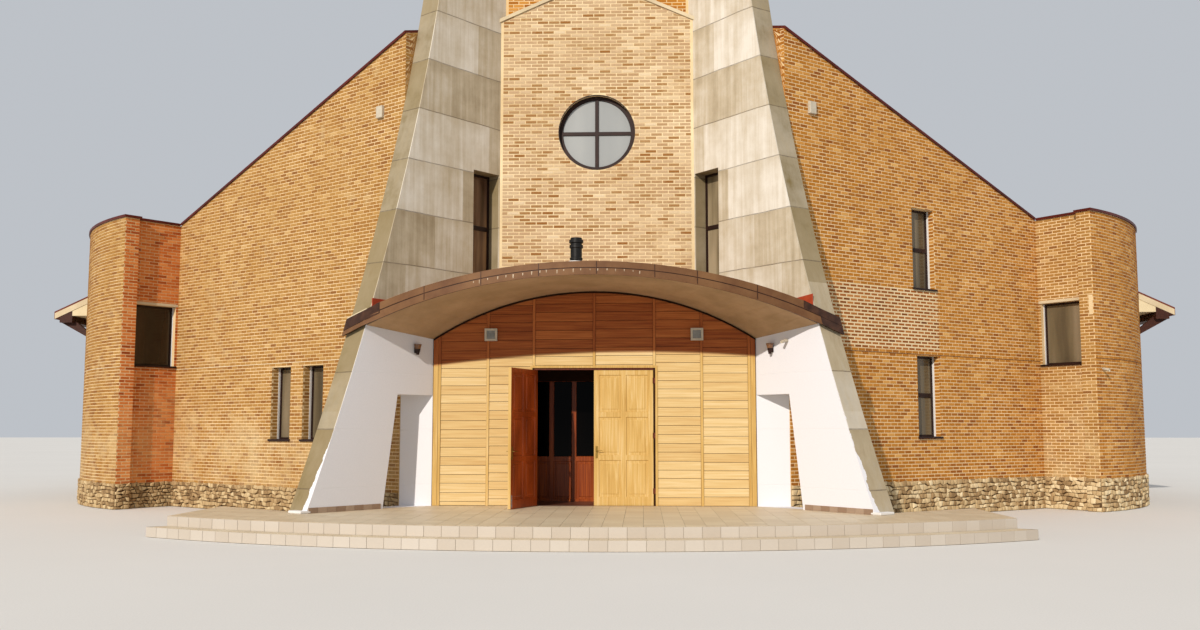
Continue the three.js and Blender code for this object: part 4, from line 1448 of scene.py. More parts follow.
@dataclass
class Masonry:
    """All brick faces and the stone plinth below them.

    Attributes:
        plinth: Level of the plinth's top on each side.
        patch: Where the right wing's bricks are smeared with mortar.
        reveal: Depth of the brick reveals of each wing's windows.
        lintel: Height of the corner windows' lintels.
        corner_end: Where a corner wall's bricks end, before the curved wall.
        turret_start: Where the bricks on the curved wall's end start.
        joints: Width of the joints on each wing, and on each corner wall.
        pale: Share of the stones' tones that each side's plinth reaches.
        wing_module: Length of a brick with its joint on the wings.
        side_top: Level of the side walls' highest bricks.
        coarse: Sizes of the stones on the sides and the rear.
    """

    plinth: dict = field(default_factory=lambda: {Side.RIGHT: 0.76, Side.LEFT: 0.60})
    rear_plinth: float = 0.68
    wing_openings: dict = field(default_factory=lambda: {
        Side.LEFT: ((3.05, 3.77, 1.65, 3.275), (4.22, 4.94, 1.65, 3.275)),
        Side.RIGHT: ((4.37, 5.11, 4.99, 6.80), (4.43, 5.17, 1.71, 3.50))})
    corner_opening: Opening = (0.48, 1.56, 3.43, 4.92)
    side_openings: tuple[Opening, ...] = tuple(
        (9.15 + 4.5 * i, 10.05 + 4.5 * i, 1.90, 4.40) for i in range(4))
    patch: Opening = (FIN_THICK, 5.20, 3.61, 4.96)
    reveal: dict = field(default_factory=lambda: {Side.RIGHT: 0.126, Side.LEFT: 0.176})
    lintel: float = 0.075
    corner_end: float = 1.610
    turret_start: float = 1.622
    joints: dict = field(default_factory=lambda: {
        Side.RIGHT: (0.020, 0.020), Side.LEFT: (0.017, 0.014)})
    pale: dict = field(default_factory=lambda: {Side.RIGHT: 1.0, Side.LEFT: 0.72})
    wing_module: float = 0.215
    side_top: float = 4.905
    tower_top: float = 14.395
    coarse: dict = field(default_factory=lambda: {"width": 0.17, "height": 0.12})

    def build(self) -> None:
        """Lays every field of bricks and stones."""
        brick, stone = brick_stamp(), stone_stamp()
        for side in Side:
            self.build_side(side, brick, stone)
            self.smears(side, brick)
            self.reveals(side, brick)
        self.build_middle(brick)
        face, span = back_face(REAR_FACE), (-SIDE_FACE, SIDE_FACE)
        BrickField("rear_bricks", face, span, constant(self.rear_plinth), under_roof(0.335),
                   BRICK_RIGHT, seed=40).build(brick)
        StonePlinth("rear_plinth_stones", face, span, self.rear_plinth, 41,
                    **self.coarse).build(stone)

    @staticmethod
    def look(side: Side) -> tuple[Finish, int]:
        """Gives a side's brick finish and its first seed."""
        return (BRICK_RIGHT, 10) if side is Side.RIGHT else (BRICK_LEFT, 20)

    def smeared(self, side: Side) -> tuple[Opening, ...]:
        """Gives the patches of smeared bricks on a wing; only the right one has any."""
        return (self.patch,) if side is Side.RIGHT else ()

    def build_side(self, side: Side, brick: Stamp, stone: Stamp) -> None:
        """Lays the walls of one half.

        Args:
            side: Which half.
            brick: The brick.
            stone: The plinth stone.
        """
        finish, seed = self.look(side)
        end_finish = BRICK_LEFT if side is Side.RIGHT else BRICK_RED
        joint, end_joint = self.joints[side]
        # The bricks of a wing end below its coping, at the roof's slope
        coping = 0.062
        wing_top = lambda u: RIDGE - PITCH * (
            ENTRANCE_HALF + u * OUTWARD[0] + WING_FACE * FORWARD[0]) - coping
        end_top = lambda s: RIDGE - PITCH * (
            ENTRANCE_HALF + FIN_THICK * OUTWARD[0] + s * FORWARD[0]) - coping
        s0, s1, v0, v1 = self.corner_opening
        arc = math.acos((SHELL_CENTRE[1] - SHELL_END) / SHELL_RADIUS) - SPLAY
        top = constant(CORNER_TOP)
        walls = (
            ("wing", wing_face(side), (FIN_THICK, WING_END), wing_top, finish,
             {"openings": self.wing_openings[side] + self.smeared(side),
              "module": self.wing_module, "joint": joint}),
            ("corner", corner_face(side), (WING_FACE, self.corner_end), top, end_finish,
             {"openings": ((s0, s1, v0, v1 + self.lintel),), "joint": end_joint}),
            ("curved_wall_end", corner_face(side, SHELL_TIP), (self.turret_start, SHELL_FACE), top,
             end_finish, {}),
            ("curved_wall", shell_face(side), (0.0, SHELL_RADIUS * arc), top, finish,
             {"joint": joint}),
            ("side", side_face(side), (SHELL_END, REAR_FACE), constant(self.side_top), finish,
             {"openings": self.side_openings}),
        )
        BrickField(f"{side.word}_wing_end_bricks", corner_face(side, FIN_THICK), (0.10, WING_FACE),
                   fin_level, end_top, finish, seed=seed + 7).build(brick)
        for number, (name, face, span, crown, look, more) in enumerate(walls):
            bricks = BrickField(f"{side.word}_{name}_bricks", face, span,
                                constant(self.plinth[side]), crown, look, seed=seed + number,
                                **more)
            bricks.build(brick)
            if name in ("wing", "curved_wall"):
                self.joint_line(side, bricks)
            StonePlinth(f"{side.word}_{name}_plinth_stones", face, span, self.plinth[side],
                        seed + 5 + number, self.pale[side],
                        **(self.coarse if name == "side" else {})).build(stone)

    def smears(self, side: Side, brick: Stamp) -> None:
        """Lays the patch of smeared bricks, with the mortar on it and beside the corner window.

        Args:
            side: Which half.
            brick: The brick.
        """
        word, seed = side.word, self.look(side)[1]
        for u0, u1, v0, v1 in self.smeared(side):
            BrickField(f"{word}_wing_patch_bricks", wing_face(side), (u0, u1), constant(v0),
                       constant(v1), BRICK_PATCH, seed=seed + 8, module=self.wing_module,
                       joint=0.030).build(brick)
            slab(f"{word}_wing_patch_mortar", (u0, 0.0003, v0), (u1, 0.0042, v1), "brick",
                 MORTAR_PALE, wing_face(side).matrix())
            slab(f"{word}_turret_mortar_smear", (SHELL_FACE - 0.115, 0.0003, v1 - 0.42),
                 (SHELL_FACE - 0.015, 0.0082, v1 + 0.04), "brick", MORTAR_PALE,
                 corner_face(side, SHELL_TIP).matrix())

    def reveals(self, side: Side, brick: Stamp) -> None:
        """Lays the bricks at both sides of a wing's windows.

        Args:
            side: Which half.
            brick: The brick.
        """
        (finish, seed), depth = self.look(side), self.reveal[side]
        for number, (u0, u1, v0, v1) in enumerate(self.wing_openings[side], 1):
            for end, u, way, span in (("inner", u0, 1, (0.0, depth)),
                                      ("outer", u1, -1, (-depth, 0.0))):
                face = Face(splayed(u, WING_FACE), -way * FORWARD, way * OUTWARD, side)
                BrickField(f"{side.word}_wing_window_{number}_{end}_reveal_bricks", face, span,
                           constant(v0 + 0.012), constant(v1 - 0.004), finish, seed=seed + 9,
                           proud=0.003, module=0.30).build(brick)

    def joint_line(self, side: Side, bricks: BrickField) -> None:
        """Runs a joint of another mortar along a field of bricks.

        Args:
            side: Which half.
            bricks: The bricks that it crosses.
        """
        level, finish = (3.526, JOINT_DARK) if side is Side.RIGHT else (3.365, JOINT_PALE)
        low = self.plinth[side]
        low += round((level - low) / bricks.course) * bricks.course - bricks.joint
        high = low + 0.013
        cells = np.concatenate([
            row_cells(np.linspace(u0, u1, max(2, round((u1 - u0) / 0.4))), low, high)
            for u0, u1, _, _ in bricks.strips(low, high)])
        piece = lay(bricks.name.replace("_bricks", "_joint_line"), brick_stamp(), bricks.face,
                    cells, -bricks.sunk, bricks.proud + 0.002, 0.5)
        place_piece(piece, "brick", finish)

    def build_middle(self, brick: Stamp) -> None:
        """Lays the bricks of the wall between the fins and of the tower.

        Args:
            brick: The brick.
        """
        scale = ENTRANCE_HALF / between_fins(CENTRE_FACE)
        over_canopy = lambda u: VAULT_APEX - arc_drop(
            VAULT_RADIUS, np.clip(u * scale, -ENTRANCE_HALF, ENTRANCE_HALF)) + 0.155
        gable = lambda u: GABLE - GABLE_PITCH * np.abs(u) - 0.085
        above, top = lambda u: gable(u) + 0.095, constant(self.tower_top)
        for name, face, depth, edge, base, crown, finish, more in (
            ("centre", front_face(CENTRE_FACE), CENTRE_FACE, 0.06, over_canopy, gable, BRICK_CENTRE,
             {"bore": (0.0, ROUND_LEVEL, 0.84), "seed": 31, "module": 0.250}),
            ("tower", front_face(TOWER_FACE), TOWER_FACE, 0.06, above, top, BRICK_RIGHT,
             {"seed": 32}),
            ("tower_rear", back_face(CENTRE_BACK), CENTRE_BACK, 0.01, under_roof(0.11), top,
             BRICK_RIGHT, {"seed": 33}),
        ):
            half = between_fins(depth) - edge
            BrickField(f"{name}_bricks", face, (-half, half), base, crown, finish,
                       **more).build(brick)


@dataclass
class WindowUnit:
    """A metal-framed window: a block whose lights are inset and sunk to the glass.

    Attributes:
        node: The solid that it stands for, or nothing.
        place: Opening: u from and to, v from and to.
        setback: How far the frame's front is behind the face.
        rim: Width of the frame and half a bar.
        sunk: How far the glass lies in.
    """

    name: str
    node: str
    face: Face
    place: Opening
    setback: float
    bars: Sequence[float] = ()
    glass: Finish = GLASS
    rim: float = 0.042
    depth: float = 0.070
    sunk: float = 0.026

    def build(self) -> None:
        """Models the window and puts it in its opening."""
        u0, u1, v0, v1 = self.place
        piece = Workpiece.block(
            self.name, (u0 + CLEAR, -self.setback - self.depth, v0 + CLEAR),
            (u1 - CLEAR, -self.setback, v1 - CLEAR)).coat(WINDOW_METAL, self.glass)
        piece.slice(2, *self.bars)
        piece.inset(looks_along, self.rim)
        edges = [v0, *self.bars, v1]
        rows = [(a + b) / 2 for a, b in zip(edges, edges[1:])]
        piece.inset(in_grid([(u0 + u1) / 2], rows), 0.008, -self.sunk, slot=1)
        piece.move(self.face.matrix())
        place_piece(piece.object, "window", WINDOW_METAL, self.glass,
                    replaced=(self.node,) if self.node else ())


@dataclass
class Sill:
    """A folded metal sill: a tongue whose front is turned down over the bricks.

    Attributes:
        place: Opening: u from and to, v from and to.
        setback: How far the window's front is behind the face.
        wide: How far it runs past the opening.
        nose: How far it stands out.
        drop: How far the front hangs down.
    """

    name: str
    face: Face
    place: Opening
    setback: float
    wide: float = 0.04
    nose: float = 0.045
    thick: float = 0.008
    lip: float = 0.014
    drop: float = 0.035

    def build(self) -> None:
        """Models the sill and puts it in its opening."""
        u0, u1, v0, _ = self.place
        piece = Workpiece.block(self.name, (u0 - self.wide, 0.006, v0 - 0.001),
                                (u1 + self.wide, self.nose, v0 + self.thick))
        front = self.nose - self.lip
        piece.slice(1, front)
        piece.extrude(lambda c, n: n.z < -0.9 and c.y > front, (0, 0, -self.drop))
        piece.slice(0, u0 + CLEAR, u1 - CLEAR)
        piece.extrude(lambda c, n: n.y < -0.9 and u0 < c.x < u1 and c.y < 0.01,
                      (0, -self.setback - 0.006, 0))
        piece.move(self.face.matrix())
        place_piece(piece.object, "dark_metal", WINDOW_METAL)


@dataclass
class Windows:
    """All windows with their sills, and the lintels over the corner windows.

    Attributes:
        slot: Opening of the slot windows beside the fins.
        radius: Radius of the round window.
        rim: Width of its ring.
        bar: Half the width of its cross bars.
    """

    masonry: Masonry
    slot: Opening = (-1.85, -1.08, 5.05, 7.40)
    radius: float = 0.8345
    rim: float = 0.085
    bar: float = 0.040

    def build(self) -> None:
        """Builds every window."""
        wings = ((Side.LEFT, ("inner", "outer"), 0.230, ((), ())),
                 (Side.RIGHT, ("upper", "lower"), 0.180, ((5.89,), (2.63,))))
        for side, names, setback, bars in wings:
            for name, place, bar in zip(names, self.masonry.wing_openings[side], bars):
                self.glaze(f"{side.word}_wing_{name}", wing_face(side), place, setback, bar)
        for side, glass, slot_glass in ((Side.RIGHT, GLASS, GLASS_SLOT),
                                        (Side.LEFT, GLASS_DEEP, GLASS_SLOT_DEEP)):
            word = side.word
            self.glaze(f"{word}_corner", corner_face(side), self.masonry.corner_opening, 0.150,
                       glass=glass)
            self.lintel(side)
            WindowUnit(f"{word}_slot_window_frame", f"{word}_slot_window", corner_face(side, 0),
                       self.slot, 0.300, (6.225,), slot_glass).build()
            self.side_windows(side)
        self.round_window()

    def glaze(self, name: str, face: Face, place: Opening, setback: float,
              bars: Sequence[float] = (), glass: Finish = GLASS) -> None:
        """Builds one window with its sill and the white render that seals its frame.

        Args:
            name: The window's name without its last word.
            face: The wall face.
            place: The opening.
            setback: How far the frame's front is behind the face.
            bars: Levels of the cross bars.
            glass: The glass.
        """
        WindowUnit(f"{name}_window_frame", f"{name}_window", face, place, setback, bars,
                   glass).build()
        Sill(f"{name}_window_sill", face, place, setback).build()
        u0, u1, v0, v1 = place
        for end, low, high in (("inner", u0 + CLEAR, u0 + 0.010),
                               ("outer", u1 - 0.010, u1 - CLEAR)):
            slab(f"{name}_window_{end}_seal", (low, 0.002 - setback, v0 + 0.012),
                 (high, 0.050 - setback, v1 - 0.004), "floor", LIMEWASH, face.matrix())

    def lintel(self, side: Side) -> None:
        """Casts the lintel over a corner window.

        Args:
            side: Which half.
        """
        u0, u1, _, foot = self.masonry.corner_opening
        piece = Workpiece.block(
            f"{side.word}_corner_window_lintel", (u0 - 0.055, -0.006, foot + 0.002),
            (u1 + 0.045, 0.010, foot + self.masonry.lintel - 0.008))
        piece.slice(2, foot + 0.04)
        piece.bevel(0.004)
        piece.move(corner_face(side).matrix())
        place_piece(piece.object, "concrete", PALE_CONCRETE)

    def side_windows(self, side: Side) -> None:
        """Sets the side wall's windows in their openings, before the sheet of glass.

        Args:
            side: Which half.
        """
        for number, place in enumerate(self.masonry.side_openings, 1):
            name = f"{side.word}_side_window_{number}"
            bar = place[2] + 0.62 * (place[3] - place[2])
            WindowUnit(f"{name}_frame", "", side_face(side), place, 0.180, (bar,),
                       rim=0.045).build()
            Sill(f"{name}_sill", side_face(side), place, 0.180).build()

    def round_window(self) -> None:
        """Makes the round window: a ring with its glass, cross bars and a lip."""
        turn, sides = (math.pi / 2, 0, 0), 96
        front = CENTRE_FACE + 0.13
        middle = lambda c, n: looks_along(c, n) and math.hypot(c.x, c.z - ROUND_LEVEL) < 0.1
        piece = Workpiece.drum("round_window_ring", (0, front + 0.045, ROUND_LEVEL), self.radius,
                               0.09, turn, sides).coat(WINDOW_METAL, SKY_GLASS)
        piece.inset(looks_along, self.rim)
        piece.inset(middle, 0.006, -0.03, slot=1)
        place_piece(piece.object, "window", WINDOW_METAL, SKY_GLASS, replaced=("round_window",),
                    smooth=30)
        reach = self.radius - self.rim + 0.012 - self.bar
        bars = Workpiece.block("round_window_cross_bars",
                               (-self.bar, front + 0.002, ROUND_LEVEL - self.bar),
                               (self.bar, front + 0.040, ROUND_LEVEL + self.bar))
        for way in (Vector(move) for move in ((1, 0, 0), (-1, 0, 0), (0, 0, 1), (0, 0, -1))):
            hub = lambda c, n: n.dot(way) > 0.9 and math.hypot(c.x, c.z - ROUND_LEVEL) < 0.05
            bars.extrude(hub, way * reach)
        bars.bevel(0.006)
        place_piece(bars.object, "dark_metal", WINDOW_METAL)
        lip = Workpiece.drum("round_window_lip", (0, CENTRE_FACE + 0.006, ROUND_LEVEL), 0.838,
                             0.030, turn, sides)
        lip.inset(looks_along, 0.014)
        lip.pick(middle)
        bpy.ops.mesh.bridge_edge_loops()
        lip.leave()
        place_piece(lip.object, "dark_metal", WINDOW_METAL, smooth=30)



@dataclass
class Podium:
    """Tiles on the entrance podium and its lower step, and the skirting of the fins.

    Attributes:
        tile: Length of a riser tile.
        paving: Length of a paving tile.
        front: How far the podium reaches forward.
        tread: Depth of the lower step.
        edge: How far the paving stays inside the podium's outline.
        passage: How far forward the fins' passages reach.
    """

    tile: float = 0.295
    paving: float = 0.33
    joint: float = 0.006
    radius: float = 13.900
    front: float = 5.100
    half: float = 7.400
    tread: float = 0.3
    edge: float = 0.008
    passage: float = 2.80

    def build(self) -> None:
        """Lays the risers, treads, paving and skirting."""
        tile, gap = tile_stamp(), self.joint / 2
        middle = np.array([0.0, self.radius - self.front])
        for name, grow, low, high, seed in (("upper", 0.0, STEP_RISE, FLOOR, 50),
                                            ("lower", self.tread, 0.0, STEP_RISE, 51)):
            radius = self.radius + grow
            face = CurvedFace(middle, OUTWARD, FORWARD, radius=radius, turn=0.0)
            reach = radius * math.asin((self.half + grow) / radius)
            count = round(2 * reach / self.tile)
            random = np.random.default_rng(seed)
            proud = 0.006 + random.uniform(0, 0.002, count)
            cells = row_cells(np.linspace(-reach, reach, count + 1), low + 0.003, high - 0.002, gap)
            piece = lay(f"podium_{name}_riser_tiles", tile, face, cells, -0.003, proud,
                        random.random(count))
            place_piece(piece, "paving", RISER_TILE)
        self.treads(tile)
        self.pave(tile)
        for side in Side:
            face, ahead = corner_face(side, 0), fin_reach(FLOOR)
            cells = row_cells(np.linspace(1.30, 2.97, 9), FLOOR + 0.004, FLOOR + 0.105, gap)
            random = np.random.default_rng(54)
            place_piece(lay(f"{side.word}_fin_skirting_tiles", tile, face, cells, -0.002, 0.010,
                            random.random(len(cells))), "paving", SKIRTING_TILE)
            kerb = Face(splayed(0, 0), OUTWARD, FORWARD, side)
            slab(f"{side.word}_fin_foot_kerb", (-0.012, ahead - 0.10, FLOOR + 0.004),
                 (FIN_THICK * 0.7, ahead + 0.13, FLOOR + 0.055), "concrete", LIMEWASH,
                 kerb.matrix(), 0.012)

    def treads(self, tile: Stamp) -> None:
        """Lays the tiles on the lower step, which follow its arc.

        Args:
            tile: The tile.
        """
        reach = math.asin(self.half / self.radius)
        count = round(2 * reach * self.radius / self.tile)
        turns = np.linspace(-reach, reach, count + 1)
        polar = row_cells(turns, self.radius + 0.012, self.radius + self.tread - 0.004,
                          self.joint / 2 / self.radius)[:, [0, 3, 2, 1]]
        turn, away = polar[..., 0], polar[..., 1]
        cells = np.stack([away * np.sin(turn), self.radius - self.front - away * np.cos(turn)], -1)
        random = np.random.default_rng(52)
        place_piece(lay_flat("podium_lower_tread_tiles", tile, cells, STEP_RISE - 0.002,
                             STEP_RISE + 0.003, random.random(count)), "paving", TOP_TILE)

    def pave(self, tile: Stamp) -> None:
        """Lays the podium's paving tiles and trims them to its outline.

        Args:
            tile: The tile.
        """
        pitch, gap = self.paving, self.joint / 2
        reach = math.ceil(self.half / pitch)
        cuts = np.arange(-reach, reach + 1) * pitch
        cells = np.concatenate([row_cells(cuts, r * pitch + gap, (r + 1) * pitch - gap, gap)
                                for r in range(-math.ceil(self.front / pitch), 1)])
        tone = np.random.default_rng(53).random(len(cells))
        kept = [i for i, cell in enumerate(cells) if any(self.covers(x, y) for x, y in cell)]
        cells = np.array([[self.pull(x, y) for x, y in cell] for cell in cells[kept]])
        x, y = cells[..., 0], cells[..., 1]
        area = 0.5 * np.sum(x * np.roll(y, -1, 1) - np.roll(x, -1, 1) * y, 1)
        whole = area > 0.003
        place_piece(lay_flat("podium_paving_tiles", tile, cells[whole], FLOOR - 0.002,
                             FLOOR + 0.003, tone[kept][whole]), "paving", TOP_TILE)

    def covers(self, x: float, y: float) -> bool:
        """Says whether a plan point is on the podium."""
        px, py = self.pull(x, y)
        return abs(px - x) < 1e-9 and abs(py - y) < 1e-9

    def pull(self, x: float, y: float) -> tuple[float, float]:
        """Moves a plan point on to the podium.

        Args:
            x: Across.
            y: Along.

        Returns:
            The nearest place that is on it, along its own row or column.
        """
        edge = self.edge
        x = max(-self.half + edge, min(self.half - edge, x))
        arc = self.radius - self.front - math.sqrt((self.radius - edge) ** 2 - x * x)
        y = max(min(y, -0.004), arc)
        out, forth = unsplayed(abs(x), y)
        ahead = fin_reach(FLOOR) + edge
        if forth < self.passage + edge and out > FIN_THICK / 2:
            forth = self.passage + edge
        if -edge < out < FIN_THICK + edge and forth < ahead:
            if out < FIN_THICK / 2:
                out = -edge
            else:
                forth = ahead
        spot = splayed(out, forth)
        return math.copysign(1.0, x) * float(spot[0]), float(spot[1])


@dataclass
class TimberFront:
    """Pine boards and battens on the entrance wall, under the vault.

    Attributes:
        pitch: Height of a board.
        battens: Middles of the upright battens.
        proud: How far the boards stand out.
        gap: Shadow gap between boards.
        edge: Half the width of the door's opening with its trim.
        head: Level over the door.
        low: Level of the lowest board's foot.
    """

    pitch: float = 0.176
    battens: tuple[float, ...] = (-3.12, -2.14, -1.21, 0.01, 1.22, 2.17, 3.12)
    batten: float = 0.052
    proud: float = 0.014
    gap: float = 0.008
    edge: float = 1.250
    head: float = 3.120
    low: float = FLOOR + 0.012

    def arch(self, x: float) -> float:
        """Gives the vault's level over the wall."""
        return float(VAULT_APEX - arc_drop(VAULT_RADIUS, x) - 0.004)

    def build(self) -> None:
        """Lays the boards of each bay, the battens, the door's trim and a dark strip under the
        arch, which is painted shadow.
        """
        random = np.random.default_rng(60)
        stops = [-3.235, *self.battens, 3.235]
        cells, tone, proud = [], [], []
        for number, (a, b) in enumerate(zip(stops, stops[1:])):
            left = a + (self.batten / 2 if number else 0) + 0.004
            right = b - (self.batten / 2 if number < len(stops) - 2 else 0) - 0.004
            level = self.low - random.uniform(0, 0.09)
            while level < self.arch(0):
                high = level + self.pitch + random.uniform(-0.012, 0.012)
                parts = self.board(left, right, max(level, self.low), high)
                cells += parts
                tone += [random.random()] * len(parts)
                proud += [self.proud + random.uniform(-0.003, 0.003)] * len(parts)
                level = high
        place_piece(lay("timber_wall_boards", board_stamp(), ENTRANCE, np.array(cells), -0.001,
                        np.array(proud), np.array(tone)), "pine", PINE)
        self.uprights(random)
        self.dark_trim()

    def dark_trim(self) -> None:
        """Bends a dark strip under the vault and sets the threshold and dark pieces round the door;
        the dark strips and board are painted shade.
        """
        # Dark strip where the vault meets the boards: painted shadow
        cuts = np.linspace(-3.25, 3.25, 41)
        cells = [[(a, self.arch(a) - 0.034), (b, self.arch(b) - 0.034), (b, self.arch(b)),
                  (a, self.arch(a))] for a, b in zip(cuts, cuts[1:])]
        place_piece(lay("timber_wall_arch_bead", tile_stamp(), ENTRANCE, np.array(cells), -0.001,
                        0.032, 0.5), "dark_wood", DARK_WOOD)
        slab("door_threshold", (-1.19, -0.030, FLOOR + 0.003), (1.19, 0.055, FLOOR + 0.008),
             "floor", BROWN_TILE)
        # Nearly black board over the screen: painted shade of the hall
        slab("inner_screen_head_board", (-1.47, 1.455, 2.90), (1.47, 1.482, 3.55), "dark_wood",
             DARK_WOOD)
        # Dark strips beside the leaves: painted shadow of the gaps at the jambs
        for word, low, high in (("left", -1.237, -1.2005), ("right", 1.2005, 1.237)):
            slab(f"door_{word}_weather_strip", (low, -0.0035, self.low),
                 (high, -0.0005, self.head - 0.014), "dark_wood", DARK_WOOD)

    def board(self, a: float, b: float, low: float, high: float) -> list[Corners]:
        """Gives one board, cut round the door and under the vault.

        Args:
            a: Where it starts.
            b: Where it ends.
            low: Its lower edge.
            high: Its upper edge.

        Returns:
            Corners of the board or of its parts, or nothing.
        """
        if low < self.head:
            if a < -self.edge < b:
                b = -self.edge
            elif a < self.edge < b:
                a = self.edge
            elif a >= -self.edge - 0.01 and b <= self.edge + 0.01:
                low = max(low, self.head)
        if high - low < 0.02 or b - a < 0.02:
            return []
        if min(self.arch(a), self.arch(b)) >= high:
            return [[(a, low), (b, low), (b, high - self.gap), (a, high - self.gap)]]
        parts = []
        cuts = np.linspace(a, b, 25)
        for x0, x1 in zip(cuts, cuts[1:]):
            tops = [min(high - self.gap, self.arch(x)) for x in (x0, x1)]
            if max(tops) > low + 0.004:
                tops = [max(top, low + 0.001) for top in tops]
                parts.append([(x0, low), (x1, low), (x1, tops[1]), (x0, tops[0])])
        return parts

    def uprights(self, random: np.random.Generator) -> None:
        """Builds the battens and the trim round the door.

        Args:
            random: Source of the tones.
        """
        cells = []
        over, foot = self.head + 0.03, FLOOR + 0.006
        for x in (*self.battens, -3.225, 3.225):
            a, b = x - self.batten / 2, x + self.batten / 2
            if abs(x) > 3.2:
                a, b = sorted((math.copysign(3.150, x), math.copysign(3.245, x)))
            low = over if abs(x) < self.edge + 0.02 else foot
            cells.append([(a, low), (b, low), (b, self.arch(b)), (a, self.arch(a))])
        inner = self.edge - 0.012
        for a, b, low, high in ((-self.edge - 0.035, -self.edge + 0.012, foot, over),
                                (self.edge - 0.012, self.edge + 0.035, foot, over),
                                (-inner, inner, self.head - 0.012, self.head + 0.035)):
            cells.append([(a, low), (b, low), (b, high), (a, high)])
        place_piece(lay("timber_wall_battens", tile_stamp(), ENTRANCE, np.array(cells), -0.001,
                        0.026, random.random(len(cells))), "pine", PINE_UPRIGHT)


@dataclass
class DoorLeaf:
    """A panelled leaf: a slab cut into six fields that are sunk, with a raised middle each.

    Attributes:
        open_turn: How far it stands open, in degrees.
        edge: Gap at each end of the leaf.
        half: Half the width of the doorway.
        rim: Width of the outer stiles.
    """

    side: Side
    open_turn: float = 0.0
    edge: float = 0.005
    half: float = 1.200
    low: float = 0.360
    high: float = 3.060
    thick: float = 0.060
    rim: float = 0.050
    handle_level: float = 1.42

    @property
    def body(self) -> Body:
        """Gives the body that the leaf is."""
        return Body.LEFT_LEAF if self.side is Side.LEFT else Body.RIGHT_LEAF

    def build(self) -> None:
        """Models the leaf and its fittings."""
        x0, x1 = self.edge, self.half - self.edge
        piece = Workpiece.block(f"{self.side.word}_door_panelled_leaf", (x0, 0, self.low),
                                (x1, self.thick, self.high)).coat(PINE_UPRIGHT, STAINED)
        middle = (x0 + x1) / 2
        stiles = (x0 + self.rim, middle, x1 - self.rim)
        levels = (self.low + 0.12, 1.31, 2.17, self.high - 0.045)
        piece.slice(0, *stiles)
        piece.slice(2, *levels)
        panels = in_grid([(a + b) / 2 for a, b in zip(stiles, stiles[1:])],
                         [(a + b) / 2 for a, b in zip(levels, levels[1:])])
        for width, depth in ((0.048, 0.0), (0.014, -0.016), (0.040, 0.0), (0.016, 0.008)):
            piece.inset(panels, width, depth)
        piece.paint(lambda c, n: c.y > self.thick - 0.024 and n.y > -0.9, 1)
        tone = piece.object.data.attributes.new("tone", "FLOAT", "POINT")
        spots = np.array([v.co for v in piece.object.data.vertices])
        waves = 0.5 + 0.3 * np.sin(7 * spots[:, 0] + 3 * spots[:, 2])
        tone.data.foreach_set("value", waves.astype(np.float32))
        piece.move(self.hang())
        place_piece(piece.object, "door", PINE_UPRIGHT, STAINED, body=self.body,
                    replaced=(f"{self.side.word}_door_leaf",))
        self.handles()
        self.bolt()

    def hang(self) -> Matrix:
        """Gives the matrix that turns the shut right-hand leaf to this one's place.

        Returns:
            The matrix.
        """
        mirror = Matrix.Scale(self.side.value, 4, Vector((1, 0, 0)))
        pivot = Matrix.Translation((self.side.value * (self.half - self.edge), -0.010, 0))
        turn = Matrix.Rotation(math.radians(self.open_turn), 4, "Z")
        return pivot @ turn @ pivot.inverted() @ mirror

    def handles(self) -> None:
        """Makes the lever handles with their plates on both faces."""
        x, level = self.edge + 0.055, self.handle_level
        for name, y, way in (("outer", 0.0, -1), ("inner", self.thick, 1)):
            plate = Workpiece.block(f"{self.side.word}_door_{name}_handle",
                                    (x - 0.022, min(y, y + way * 0.006), level - 0.12),
                                    (x + 0.022, max(y, y + way * 0.006), level + 0.12))
            plate.slice(2, level + 0.02, level + 0.042)
            top = lambda c, n: n.y * way > 0.9 and abs(c.z - level - 0.031) < 0.005
            core = lambda c, n: top(c, n) and abs(c.x - x) < 0.004
            plate.inset(top, 0.006)
            plate.extrude(core, (0, way * 0.040, 0))
            plate.extrude(core, (0, way * 0.014, 0))
            plate.extrude(lambda c, n: n.x > 0.9 and abs(c.y - y) > 0.045, (0.10, 0, 0), 0.8)
            plate.bevel(0.0015)
            plate.move(self.hang())
            place_piece(plate.object, "steel", BRASS, body=self.body)

    def bolt(self) -> None:
        """Makes the foot bolt on the leaf's inner face."""
        rod = Workpiece.drum(f"{self.side.word}_door_foot_bolt",
                             (self.edge + 0.035, self.thick + 0.010, 0.50), 0.006, 0.24, sides=10)
        for z in (0.42, 0.52, 0.60):
            rod.slice(2, z, z + 0.016)
            rod.swell(z, z + 0.016, 0.0045)
        rod.move(self.hang())
        place_piece(rod.object, "steel", STEEL, body=self.body, smooth=40)


@dataclass
class InnerScreen:
    """The glazed screen behind the doors: stiles, six lights and panels below them.

    Attributes:
        rail: Level of the rail between lights and panels.
        face: How far back its front is.
    """

    half: float = 1.4495
    head: float = 2.9495
    rail: float = 1.250
    face: float = 1.520
    depth: float = 0.060
    lights: int = 6

    def build(self) -> None:
        """Models the screen."""
        piece = Workpiece.block(
            "inner_glazed_screen", (-self.half, self.face, FLOOR + 0.001),
            (self.half, self.face + self.depth, self.head)).coat(SCREEN_WOOD, DARK_GLASS)
        pitch = 2 * self.half / self.lights
        piece.slice(0, *(-self.half + i * pitch for i in range(1, self.lights)))
        piece.slice(2, self.rail)
        piece.inset(looks_along, 0.045)
        middles = [-self.half + (i + 0.5) * pitch for i in range(self.lights)]
        piece.inset(in_grid(middles, [(self.rail + self.head) / 2]), 0.010, -0.022, slot=1)
        panels = in_grid(middles, [(self.rail + FLOOR) / 2], 0.02)
        for width, depth in ((0.014, -0.012), (0.035, 0.0), (0.012, 0.008)):
            piece.inset(panels, width, depth)
        place_piece(piece.object, "dark_wood", SCREEN_WOOD, DARK_GLASS, replaced=("inner_screen",))


